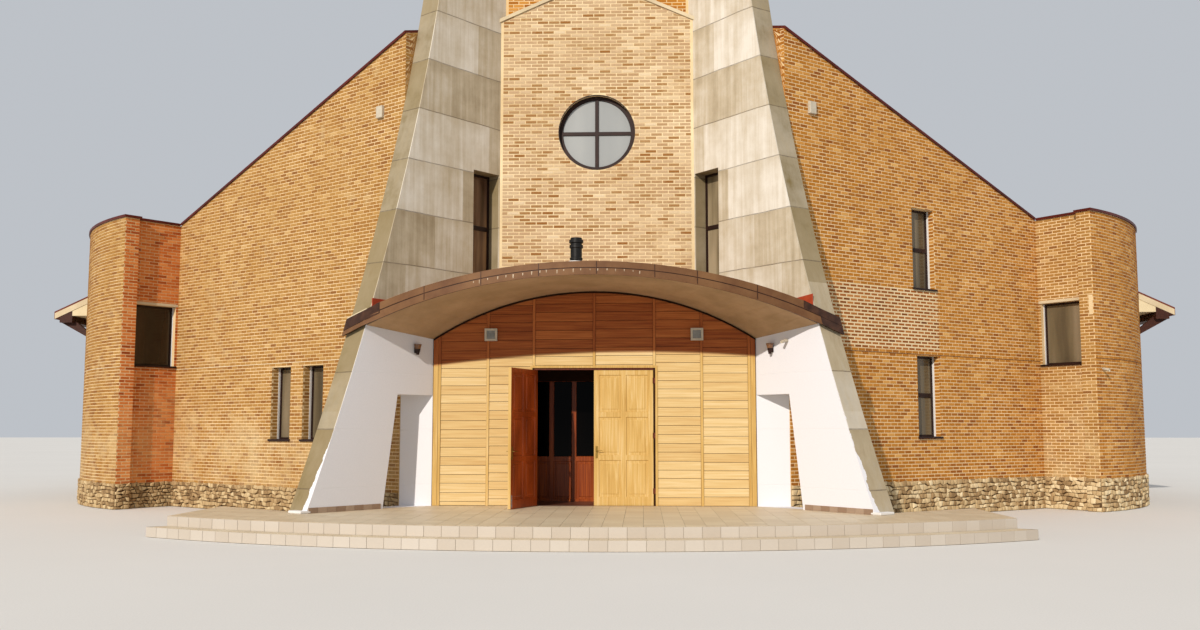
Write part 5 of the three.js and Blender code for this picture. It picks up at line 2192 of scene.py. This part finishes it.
@dataclass
class CanopyTrim:
    """The canopy's metal fascia in two bands, with its drip bead, joints and tips.

    Attributes:
        steps: Number of lengths over the front.
        half: Half the width of the canopy's front.
        front: How far its middle reaches forward.
        side: How far its ends reach forward.
        apex: Level of the fascia's foot in the middle.
        top: Level of its upper edge in the middle.
        clear: How far its tips stand before the fins.
    """

    steps: int = 28
    half: float = 4.300
    front: float = 2.300
    side: float = 1.370
    apex: float = 4.700
    radius: float = 11.500
    top: float = 4.945
    top_radius: float = 12.450
    thick: float = 0.050
    clear: float = 0.045

    @property
    def sweep(self) -> float:
        """Gives the radius of the canopy's front in plan."""
        sag = self.front - self.side
        return (self.half ** 2 + sag ** 2) / (2 * sag)

    def edges(self, x: float | np.ndarray) -> tuple:
        """Gives the levels of the fascia's foot and upper edge at a distance from the middle."""
        return self.apex - arc_drop(self.radius, x), self.top - arc_drop(self.top_radius, x)

    def stations(self) -> list[Callable[[float], np.ndarray]]:
        """Gives the plan points of the fascia's back.

        Returns:
            A function of the level for each point, from left to right.
        """
        def on_fin(side: int, out: float) -> Callable[[float], np.ndarray]:
            """Gives a point before a fin's leaning front face."""
            return lambda z: splayed(out, fin_reach(z) + self.clear) * np.array([side, 1])

        def on_front(x: float) -> Callable[[float], np.ndarray]:
            """Gives a point of the canopy's front edge."""
            return lambda z: np.array([x, float(arc_drop(self.sweep, x)) - self.front])

        middle = [on_front(self.half * (2 * i / self.steps - 1)) for i in range(1, self.steps)]
        return [on_fin(-1, FIN_THICK), on_fin(-1, 0), *middle, on_fin(1, 0), on_fin(1, FIN_THICK)]

    def ring(self, index: int, low: float, high: float, inner: float, outer: float) -> np.ndarray:
        """Gives one section of a band along the fascia.

        Args:
            index: Which station.
            low: Share of the fascia's height where the band starts.
            high: Share where it ends.
            inner: How far behind the fascia's outer face it starts.
            outer: How far before that face it ends.

        Returns:
            Four points: low outer, low inner, high inner, high outer.
        """
        stations = self.stations()
        foot, crown = (float(level) for level in self.edges(float(stations[index](3.9)[0])))
        points = []
        for share, away in ((low, outer), (low, -inner), (high, -inner), (high, outer)):
            z = foot + share * (crown - foot)
            spot = stations[index](z)
            before = stations[max(index - 1, 0)](z)
            after = stations[min(index + 1, len(stations) - 1)](z)
            run = (after - before) / np.linalg.norm(after - before)
            plan = spot + np.array([run[1], -run[0]]) * (self.thick + away)
            points.append((plan[0], plan[1], z))
        return np.array(points)

    def band(self, name: str, low: float, high: float, outer: float, first: int,
             last: int) -> Workpiece:
        """Builds a band: its first section is a plane that is extruded from station to station.

        Args:
            name: The piece's name.
            low: Share of the fascia's height where the band starts.
            high: Share where it ends.
            outer: Its height before the fascia's outer face.
            first: First station.
            last: Last station.

        Returns:
            The workpiece.
        """
        deselect()
        bpy.ops.mesh.primitive_plane_add(size=1.0)
        piece = Workpiece(name)
        mesh = piece.edit()
        rings = [self.ring(index, low, high, 0.004, outer) for index in range(first, last + 1)]
        mesh.faces.ensure_lookup_table()
        for vert, spot in zip(mesh.faces[0].verts, rings[0]):
            vert.co = spot
        bmesh.update_edit_mesh(piece.object.data)
        for before, after in zip(rings, rings[1:]):
            bpy.ops.mesh.extrude_region_move(TRANSFORM_OT_translate={"value": (0.0, 0.0, 0.0)})
            mesh = bmesh.from_edit_mesh(piece.object.data)
            for vert in mesh.verts:
                if vert.select:
                    away = [(Vector(spot) - vert.co).length for spot in before]
                    vert.co = after[int(np.argmin(away))]
            bmesh.update_edit_mesh(piece.object.data)
        bpy.ops.mesh.select_all(action="SELECT")
        bpy.ops.mesh.normals_make_consistent(inside=False)
        return piece.leave()

    def build(self) -> None:
        """Builds the bands, the tips over the fins, the seams and the lime drips."""
        end = self.steps + 2
        for name, low, high, outer, first, last, finish in (
            ("upper_band", 0.53, 1.0, 0.010, 2, end - 2, FASCIA_METAL),
            ("lower_band", 0.0, 0.46, 0.007, 1, end - 1, FASCIA_METAL),
            ("drip_bead", -0.02, 0.06, 0.014, 1, end - 1, FASCIA_METAL),
            ("left_upper_tip", 0.31, 1.02, 0.012, 0, 2, FASCIA_DARK),
            ("left_lower_tip", -0.02, 0.28, 0.010, 0, 1, FASCIA_METAL),
            ("left_tip_fillet", 1.02, 1.10, 0.004, 0, 1, PALE_CONCRETE),
            ("right_upper_tip", 0.49, 1.02, 0.012, end - 2, end, FASCIA_DARK),
            # The right tip is dark down to its foot: painted shade, where the left tip has a brown
            # lower strip
            ("right_lower_tip", -0.02, 0.47, 0.010, end - 1, end, FASCIA_DARK),
        ):
            piece = self.band(f"canopy_fascia_{name}", low, high, outer, first, last)
            place_piece(piece.object, "brown_metal", finish, smooth=30)
        seams = [[(x, 0.02), (x + 0.014, 0.02), (x + 0.014, 0.99), (x, 0.99)]
                 for x in (-3.1, -2.0, -0.92, 0.14, 1.2, 1.98, 3.1)]
        random = np.random.default_rng(80)
        drips = []
        for x in np.arange(-2.15, 1.0, 0.155) + random.uniform(-0.03, 0.03, 21):
            wide, top = random.uniform(0.008, 0.022), random.uniform(0.38, 0.45)
            foot = top - random.uniform(0.10, 0.34)
            drips.append([(x, foot), (x + wide * 0.6, foot), (x + wide, top), (x - 0.004, top)])
        face = FasciaFace(np.zeros(2), np.zeros(2), np.zeros(2), trim=self)
        for name, cells, outer, finish in (("seams", seams, 0.013, FASCIA_DARK),
                                           ("lime_drips", drips, 0.0085, LIME_DRIP)):
            piece = lay(f"canopy_fascia_{name}", tile_stamp(), face, np.array(cells), 0.004, outer,
                        0.5)
            place_piece(piece, "brown_metal", finish)


@dataclass(frozen=True)
class FasciaFace(Face):
    """The canopy's front: u across the building, v a share of the fascia's height, w out of it.

    Attributes:
        trim: The canopy's trim, which knows the edge's arcs.
    """

    trim: CanopyTrim | None = None

    def place(self, u: np.ndarray, v: np.ndarray, w: np.ndarray) -> np.ndarray:
        """Gives points of the face.

        Args:
            u: Across the face.
            v: Up it.
            w: Out of it.

        Returns:
            The points, with x, y and z last.
        """
        trim = self.trim
        foot, crown = trim.edges(u)
        turn, reach = np.arcsin(u / trim.sweep), trim.thick + w
        back = arc_drop(trim.sweep, u) - trim.front - reach * np.cos(turn)
        return np.stack([u + reach * np.sin(turn), back, foot + v * (crown - foot)], axis=-1)


@dataclass
class Vent:
    """The black vent pipe on the canopy: a neck, a cowl, a collar and a white ring.

    Attributes:
        bands: Low and high level of each swollen band, and how far it stands out.
    """

    x: float = -0.290
    y: float = -1.200
    radius: float = 0.140
    top: float = 5.560
    foot: float = 4.800
    bands: tuple[tuple[float, float, float], ...] = (
        (5.13, 5.17, 0.012), (5.36, 5.42, 0.020), (5.46, 5.52, 0.026))

    def build(self) -> None:
        """Models the vent."""
        middle = (self.foot + self.top) / 2
        pipe = Workpiece.drum("roof_vent_cowl", (self.x, self.y, middle), self.radius * 0.8,
                              self.top - self.foot, sides=32)
        for low, high, _ in self.bands:
            pipe.slice(2, low, high)
        for low, high, swell in self.bands:
            pipe.swell(low, high, swell)
        pipe.bevel(0.004)
        place_piece(pipe.object, "dark_metal", VENT_METAL, replaced=("roof_vent",), smooth=40)
        collar = Workpiece.drum("roof_vent_collar", (self.x, self.y, 4.88), 0.165, 0.10,
                                sides=32, tip=0.122)
        collar.bevel(0.006)
        place_piece(collar.object, "dark_metal", VENT_METAL, smooth=40)
        ring = Workpiece.drum("roof_vent_white_ring", (self.x, self.y, 5.085), 0.142, 0.05,
                              (0.06, 0.04, 0.0), sides=32)
        ring.bevel(0.008, 2)
        place_piece(ring.object, "dark_metal", WHITE_METAL, smooth=40)


@dataclass
class Fittings:
    """Lamps, cameras, loudspeakers, boxes and flashings.

    Attributes:
        lamp: Place and level of the wall lamps on the fins' inner faces.
        cameras: Name, face, place and level of each watch camera.
        speaker: Place across, level and half the width of a loudspeaker.
        flood: Place of the floodlight.
    """

    lamp: tuple[float, float] = (0.48, 3.46)
    cameras: tuple[tuple[str, Callable[[Side], Face], float, float], ...] = (
        ("right_fin_watch_camera", lambda side: corner_face(side, 0), 0.91, 3.58),
        ("right_curved_wall_watch_camera", shell_face, 0.25, 3.26))
    speaker: tuple[float, float, float] = (2.08, 3.78, 0.125)
    flood: tuple[float, float, float] = (-2.18, -0.62, 4.62)

    def build(self) -> None:
        """Builds every fitting."""
        for side in Side:
            self.wall_lamp(side)
            self.pale_box(side)
            self.loudspeaker(side)
            self.flashing(side)
        for name, face, u, level in self.cameras:
            self.watch_camera(name, face(Side.RIGHT), u, level)
        self.floodlight()

    def wall_lamp(self, side: Side) -> None:
        """Makes a wall lamp: a flared half shade on a small back plate.

        Args:
            side: Which half.
        """
        name, face = f"{side.word}_fin_wall_lamp", corner_face(side, 0)
        u, level = self.lamp
        foot, head = level - 0.055, level + 0.01
        cup = Workpiece.drum(name, (u, 0.070, level), 0.028, 0.21, sides=20, tip=0.078)
        cup.pick(looks_up)
        bpy.ops.mesh.inset(thickness=0.008)
        bpy.ops.transform.translate(value=(0, 0, -0.035))
        cup.leave().coat(WINDOW_METAL, LAMP_GLASS)
        cup.slice(2, head, foot)
        cup.inset(lambda c, n: abs(n.z) < 0.8 and foot < c.z < head, 0.004, -0.002)
        cup.paint(lambda c, n: c.z > level + 0.012, 1)
        cup.move(face.matrix())
        place_piece(cup.object, "dark_metal", WINDOW_METAL, LAMP_GLASS, smooth=35)
        plate = Workpiece.block(f"{name}_back_plate", (u - 0.035, 0.001, level - 0.07),
                                (u + 0.035, 0.016, level + 0.05))
        plate.extrude(looks_out, (0, 0.030, 0), 0.6)
        plate.bevel(0.004)
        plate.move(face.matrix())
        place_piece(plate.object, "dark_metal", WINDOW_METAL)

    def pale_box(self, side: Side) -> None:
        """Makes the small closed box with a lid on a wing.

        Args:
            side: Which half.
        """
        u, level, wide, high, deep = 1.27, 8.55, 0.19, 0.26, 0.07
        box = Workpiece.block(f"{side.word}_wing_white_box",
                              (u - wide / 2, 0.004, level - high / 2),
                              (u + wide / 2, deep, level + high / 2))
        box.inset(looks_out, 0.012, 0.006)
        box.bevel(0.005, 2)
        box.move(wing_face(side).matrix())
        place_piece(box.object, "steel", WHITE_PLASTIC)

    def loudspeaker(self, side: Side) -> None:
        """Makes a loudspeaker: a white case with a sunk grey grille.

        Args:
            side: Which half.
        """
        x, level, half = self.speaker
        case = Workpiece.block(f"{side.word}_loudspeaker", (x - half, 0.010, level - half),
                               (x + half, 0.095, level + half)).coat(WHITE_PLASTIC, GREY_PLASTIC)
        case.inset(looks_out, 0.038)
        case.inset(lambda c, n: n.y > 0.9 and in_grid([x], [level])(c, n), 0.004, -0.010, slot=1)
        case.slice(2, *(level - 0.07 + 0.02 * i for i in range(8)))
        case.inset(lambda c, n: n.y > 0.9 and c.y < 0.09 and abs(c.x - x) < 0.03
                   and abs(c.z - level) < 0.075, 0.003, -0.004)
        case.move(front_face(0.0, side).matrix())
        place_piece(case.object, "steel", WHITE_PLASTIC, GREY_PLASTIC)

    def watch_camera(self, name: str, face: Face, u: float, level: float) -> None:
        """Makes a watch camera: a short barrel on a bracket.

        Args:
            name: The piece's name.
            face: The face that it stands on.
            u: Place along the face.
            level: Its level.
        """
        barrel = Workpiece.drum(name, (0, 0.105, 0), 0.032, 0.15, (math.pi / 2 - 0.25, 0, 0), 20)
        barrel.inset(lambda c, n: n.y > 0.8, 0.006, -0.012)
        barrel.extrude(lambda c, n: n.y < -0.8, (0, -0.035, 0.0), 0.4)
        barrel.extrude(lambda c, n: n.y < -0.8 and c.y < 0.02, (0, -0.006, 0.0), 2.6)
        if isinstance(face, CurvedFace):
            spot = face.place(np.array([u]), np.array([level]), np.array([0.0]))[0]
            turn = Matrix.Rotation(face.turn + u / face.radius + math.pi, 4, "Z")
            barrel.move(Matrix.Translation(spot) @ turn)
        else:
            barrel.move(face.matrix() @ Matrix.Translation((u, 0.0, level)))
        place_piece(barrel.object, "steel", WHITE_PLASTIC, smooth=40)

    def floodlight(self) -> None:
        """Makes the small floodlight on the canopy beside the left slot window."""
        x, y, z = self.flood
        lamp = Workpiece.drum("canopy_floodlight", (x, y, z + 0.18), 0.06, 0.16,
                              (math.radians(-50), 0, 0), 24, 0.085)
        lamp.inset(lambda c, n: n.z > 0.5 and c.z > z + 0.2, 0.010, -0.012)
        lamp.bevel(0.004)
        place_piece(lamp.object, "steel", WHITE_METAL, smooth=40)
        foot = Workpiece.block("canopy_floodlight_bracket", (x - 0.05, y - 0.04, z - 0.05),
                               (x + 0.05, y + 0.04, z + 0.02))
        foot.extrude(looks_up, (0, 0, 0.09), 0.35)
        foot.bevel(0.004)
        place_piece(foot.object, "steel", STEEL)

    def flashing(self, side: Side) -> None:
        """Folds the red flashing where the canopy meets a fin's inner face and edge.

        Args:
            side: Which half.
        """
        edge, high = fin_reach(4.32), 0.15 if side is Side.RIGHT else 0.10
        piece = Workpiece.block(f"{side.word}_canopy_flashing", (edge - 0.60, 0.004, 4.24),
                                (edge + 0.02, 0.022, 4.30 + high))
        mesh = piece.edit()
        for vert in mesh.verts:
            # It dies out up the canopy's curve
            if vert.co.x < edge - 0.1 and vert.co.z > 4.27:
                vert.co.z = 4.385
        bmesh.update_edit_mesh(piece.object.data)
        piece.leave()
        piece.extrude(lambda c, n: n.z < -0.9, (0, 0.05, -0.03))
        piece.bevel(0.003)
        piece.move(corner_face(side, 0).matrix())
        place_piece(piece.object, "brown_metal", FLASHING)


@dataclass
class Roof:
    """Clay tiles on both slopes and on the ridge.

    Attributes:
        wide: Cover width of a tile.
        long: Cover length of a tile on the slope.
        overhang: How far the corner roofs reach in from the walls' faces.
        ridge_tile: Cover length of a ridge tile.
    """

    wide: float = 0.300
    long: float = 0.340
    overhang: float = 0.38
    ridge_tile: float = 0.40

    def build(self) -> None:
        """Lays the tiles of both slopes and the ridge."""
        stamp = pantile_stamp()
        for side in Side:
            self.slope(side, stamp)
            self.verge(side)
        self.ridge()

    def inside(self, x: float, y: float) -> bool:
        """Says whether a plan point of the right-hand slope is on the roof.

        Args:
            x: Across, from the ridge.
            y: Back from the entrance.

        Returns:
            True on the roof.
        """
        out, forth = unsplayed(x, y)
        tower_back = -2.47
        if y < CENTRE_BACK + 0.02 or y > EAVE_BACK or x > EAVE_EDGE:
            return False
        if -0.02 < out < FIN_THICK + 0.02 and forth > tower_back:
            return False
        if out <= 0:
            return abs(x) < between_fins(y) or forth < tower_back
        if out < WING_END + 0.40:
            return forth < 0.02
        corner = splayed(WING_END + self.overhang, WING_FACE - self.overhang)
        side = SIDE_FACE - self.overhang
        if x < side:
            share = (x - corner[0]) / (side - corner[0])
            return y > corner[1] + share * (SHELL_END - corner[1]) + 0.03
        return y > SHELL_END + 0.02

    def slope(self, side: Side, stamp: Stamp) -> None:
        """Lays the tiles of one slope.

        Args:
            side: Which slope.
            stamp: The tile.
        """
        run = self.long * math.cos(math.atan(PITCH))
        random = np.random.default_rng(70 if side is Side.RIGHT else 71)
        cells, tone = [], []
        x = EAVE_EDGE
        while x - run > 0.05:
            y = CENTRE_BACK
            while y < EAVE_BACK - 0.01:
                if all(self.inside(a, b) for a in (x - 0.01, x - run)
                       for b in (y + 0.01, y + self.wide - 0.01)):
                    far, high = y + self.wide - 0.004, x - run - 0.03
                    cells.append([(y, x), (far, x), (far, high), (y, high)])
                    tone.append(random.random())
                y += self.wide
            x -= run
        cells = np.array(cells)
        piece = lay(f"{side.word}_roof_tiles", stamp, Face(np.zeros(2), ACROSS, BACKWARD), cells,
                    0.0, 0.016, np.array(tone))
        # Laid flat, with u along the eave and v up the slope, and then put on the slope
        spots = np.array([v.co for v in piece.data.vertices], np.float32)
        back, lift, across = spots.T
        foot = np.repeat(cells[:, 0, 1], len(stamp.points))
        tilt = 0.012 * (1 - np.clip((foot - across) / run, 0, 1.1))
        z = RIDGE - 0.12 - PITCH * across + lift + 0.004 + tilt
        moved = np.stack([side.value * across, back, z], -1).astype(np.float32)
        piece.data.vertices.foreach_set("co", moved.ravel())
        if side is Side.RIGHT:
            piece.data.flip_normals()
        piece.data.update()
        place_piece(piece, "roofing", CLAY_TILE, smooth=40)

    def verge(self, side: Side) -> None:
        """Sets the pale board that closes the roof's end over the eave.

        Args:
            side: Which slope.
        """
        piece = Workpiece.block(f"{side.word}_eave_verge_board",
                                (SIDE_FACE + 0.025, SHELL_END - 0.016, -0.325),
                                (EAVE_EDGE - 0.02, SHELL_END - 0.001, -0.172))
        mesh = piece.edit()
        for vert in mesh.verts:
            vert.co.z += RIDGE - PITCH * vert.co.x
        bmesh.update_edit_mesh(piece.object.data)
        piece.leave()
        piece.move(Matrix.Scale(side.value, 4, Vector((1, 0, 0))))
        place_piece(piece.object, "soffit", PALE_CONCRETE)

    def ridge(self) -> None:
        """Lays the half-round ridge tiles, each lapping over the next."""
        count = int((EAVE_BACK - CENTRE_BACK - 0.05) / self.ridge_tile)
        tile = Workpiece.drum("ridge_tile", (0.5, 0.5, 0.5), 0.5, 1.0, (math.pi / 2, 0, 0), 16)
        tile.cut((0, 0, 0.5), (0, 0, -1), keep=False)
        cells = []
        for i in range(count):
            near = CENTRE_BACK + 0.03 + i * self.ridge_tile
            far = CENTRE_BACK + 0.05 + (i + 1) * self.ridge_tile
            cells.append([(-0.12, near), (0.12, near), (0.11, far), (-0.11, far)])
        random = np.random.default_rng(72)
        piece = lay_flat("ridge_tiles", Stamp.take(tile), np.array(cells), RIDGE - 0.12 - 0.075,
                         RIDGE - 0.002, random.random(count))
        place_piece(piece, "roofing", CLAY_TILE, smooth=40)


def dress_nodes() -> None:
    """Gives every solid of the frame that still shows its finish."""
    looks = {
        "podium": TILE_BED, "nave_floor": BROWN_TILE, "fin": CONCRETE, "gable_band": PALE_CONCRETE,
        "centre_brick_wall": MORTAR_PALE, "tower_wall": MORTAR, "tower_": BEAM_CONCRETE,
        # The timber wall's backing and the doors' lining are dark: painted shade in gaps
        "timber_wall": DARK_WOOD, "door_lining": LINING_WOOD,
        "canopy_shell": SOFFIT, "canopy_fascia": FASCIA_DARK, "coping": COPING_METAL,
        "corner_roof": ROOF_FELT, "roof_slope": CLAY_TILE, "eave_soffit": PLASTER,
        "eave_beam": EAVE_WOOD, "wall": MORTAR, "cross": STEEL, "glass": GLASS, "window": GLASS,
        "leaf": PINE_UPRIGHT, "screen": STAINED, "vent": VENT_METAL,
    }
    for name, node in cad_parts.items():
        finish = next(look for key, look in looks.items() if key in name)
        node.data.materials.clear()
        node.data.materials.append(finish.material())


@dataclass
class Studio:
    """Floor, light and camera.

    Attributes:
        sun: Direction in which the sunlight travels.
        tilt: Its turn up from straight down, in degrees.
        pan: Its turn to the left, in degrees.
    """

    sun: tuple[float, float, float] = (0.3352, 0.8298, -0.446)
    lens: float = 34.911
    stand: tuple[float, float, float] = (0.98354, -23.4518, 1.84491)
    tilt: float = 95.684
    pan: float = 2.093

    def build(self) -> None:
        """Sets up the studio."""
        deselect()
        bpy.ops.mesh.primitive_plane_add(size=600.0, location=(0, 0, -0.004))
        floor = bpy.context.active_object
        floor.name = "studio_floor"
        paper = Mottled("studio_floor_paper", 0.9, tones=pair("D9D7D2", "DDDBD6"), patch_mm=9000,
                        relief=0.0)
        floor.data.materials.append(paper.material())
        self.lights()
        self.camera()

    def lights(self) -> None:
        """Adds a soft key light from the front left and a pale surround."""
        world = bpy.data.worlds.new("studio_surround")
        world.use_nodes = True
        shell = world.node_tree.nodes["Background"]
        shell.inputs["Color"].default_value = linear("DEE3EA")
        shell.inputs["Strength"].default_value = 0.70
        bpy.context.scene.world = world
        lamp = bpy.data.lights.new("key_light", "SUN")
        lamp.energy = 3.5
        lamp.angle = math.radians(0.8)
        lamp.color = linear("FFF5EA")[:3]
        key = bpy.data.objects.new("key_light", lamp)
        key.rotation_euler = Vector(self.sun).to_track_quat("-Z", "Y").to_euler()
        bpy.context.scene.collection.objects.link(key)

    def camera(self) -> None:
        """Places the camera at the photograph's point of view."""
        lens = bpy.data.cameras.new("front_camera")
        lens.sensor_width = 36.0
        lens.sensor_fit = "HORIZONTAL"
        lens.lens = self.lens
        lens.clip_end = 1000.0
        camera = bpy.data.objects.new("front_camera", lens)
        camera.location = self.stand
        camera.rotation_euler = (math.radians(self.tilt), 0.0, math.radians(self.pan))
        bpy.context.scene.collection.objects.link(camera)
        bpy.context.scene.camera = camera
        bpy.context.scene.view_settings.view_transform = "Standard"


def main() -> None:
    """Builds the looks in order."""
    logging.basicConfig(level=logging.INFO, format="%(message)s")
    dress_nodes()
    masonry = Masonry()
    for part in (masonry, Windows(masonry), Podium(), TimberFront(), DoorLeaf(Side.RIGHT),
                 DoorLeaf(Side.LEFT, -110.0), InnerScreen(), CanopyTrim(), Vent(), Fittings(),
                 Roof(), Studio()):
        part.build()


if __name__ == "__main__":
    main()
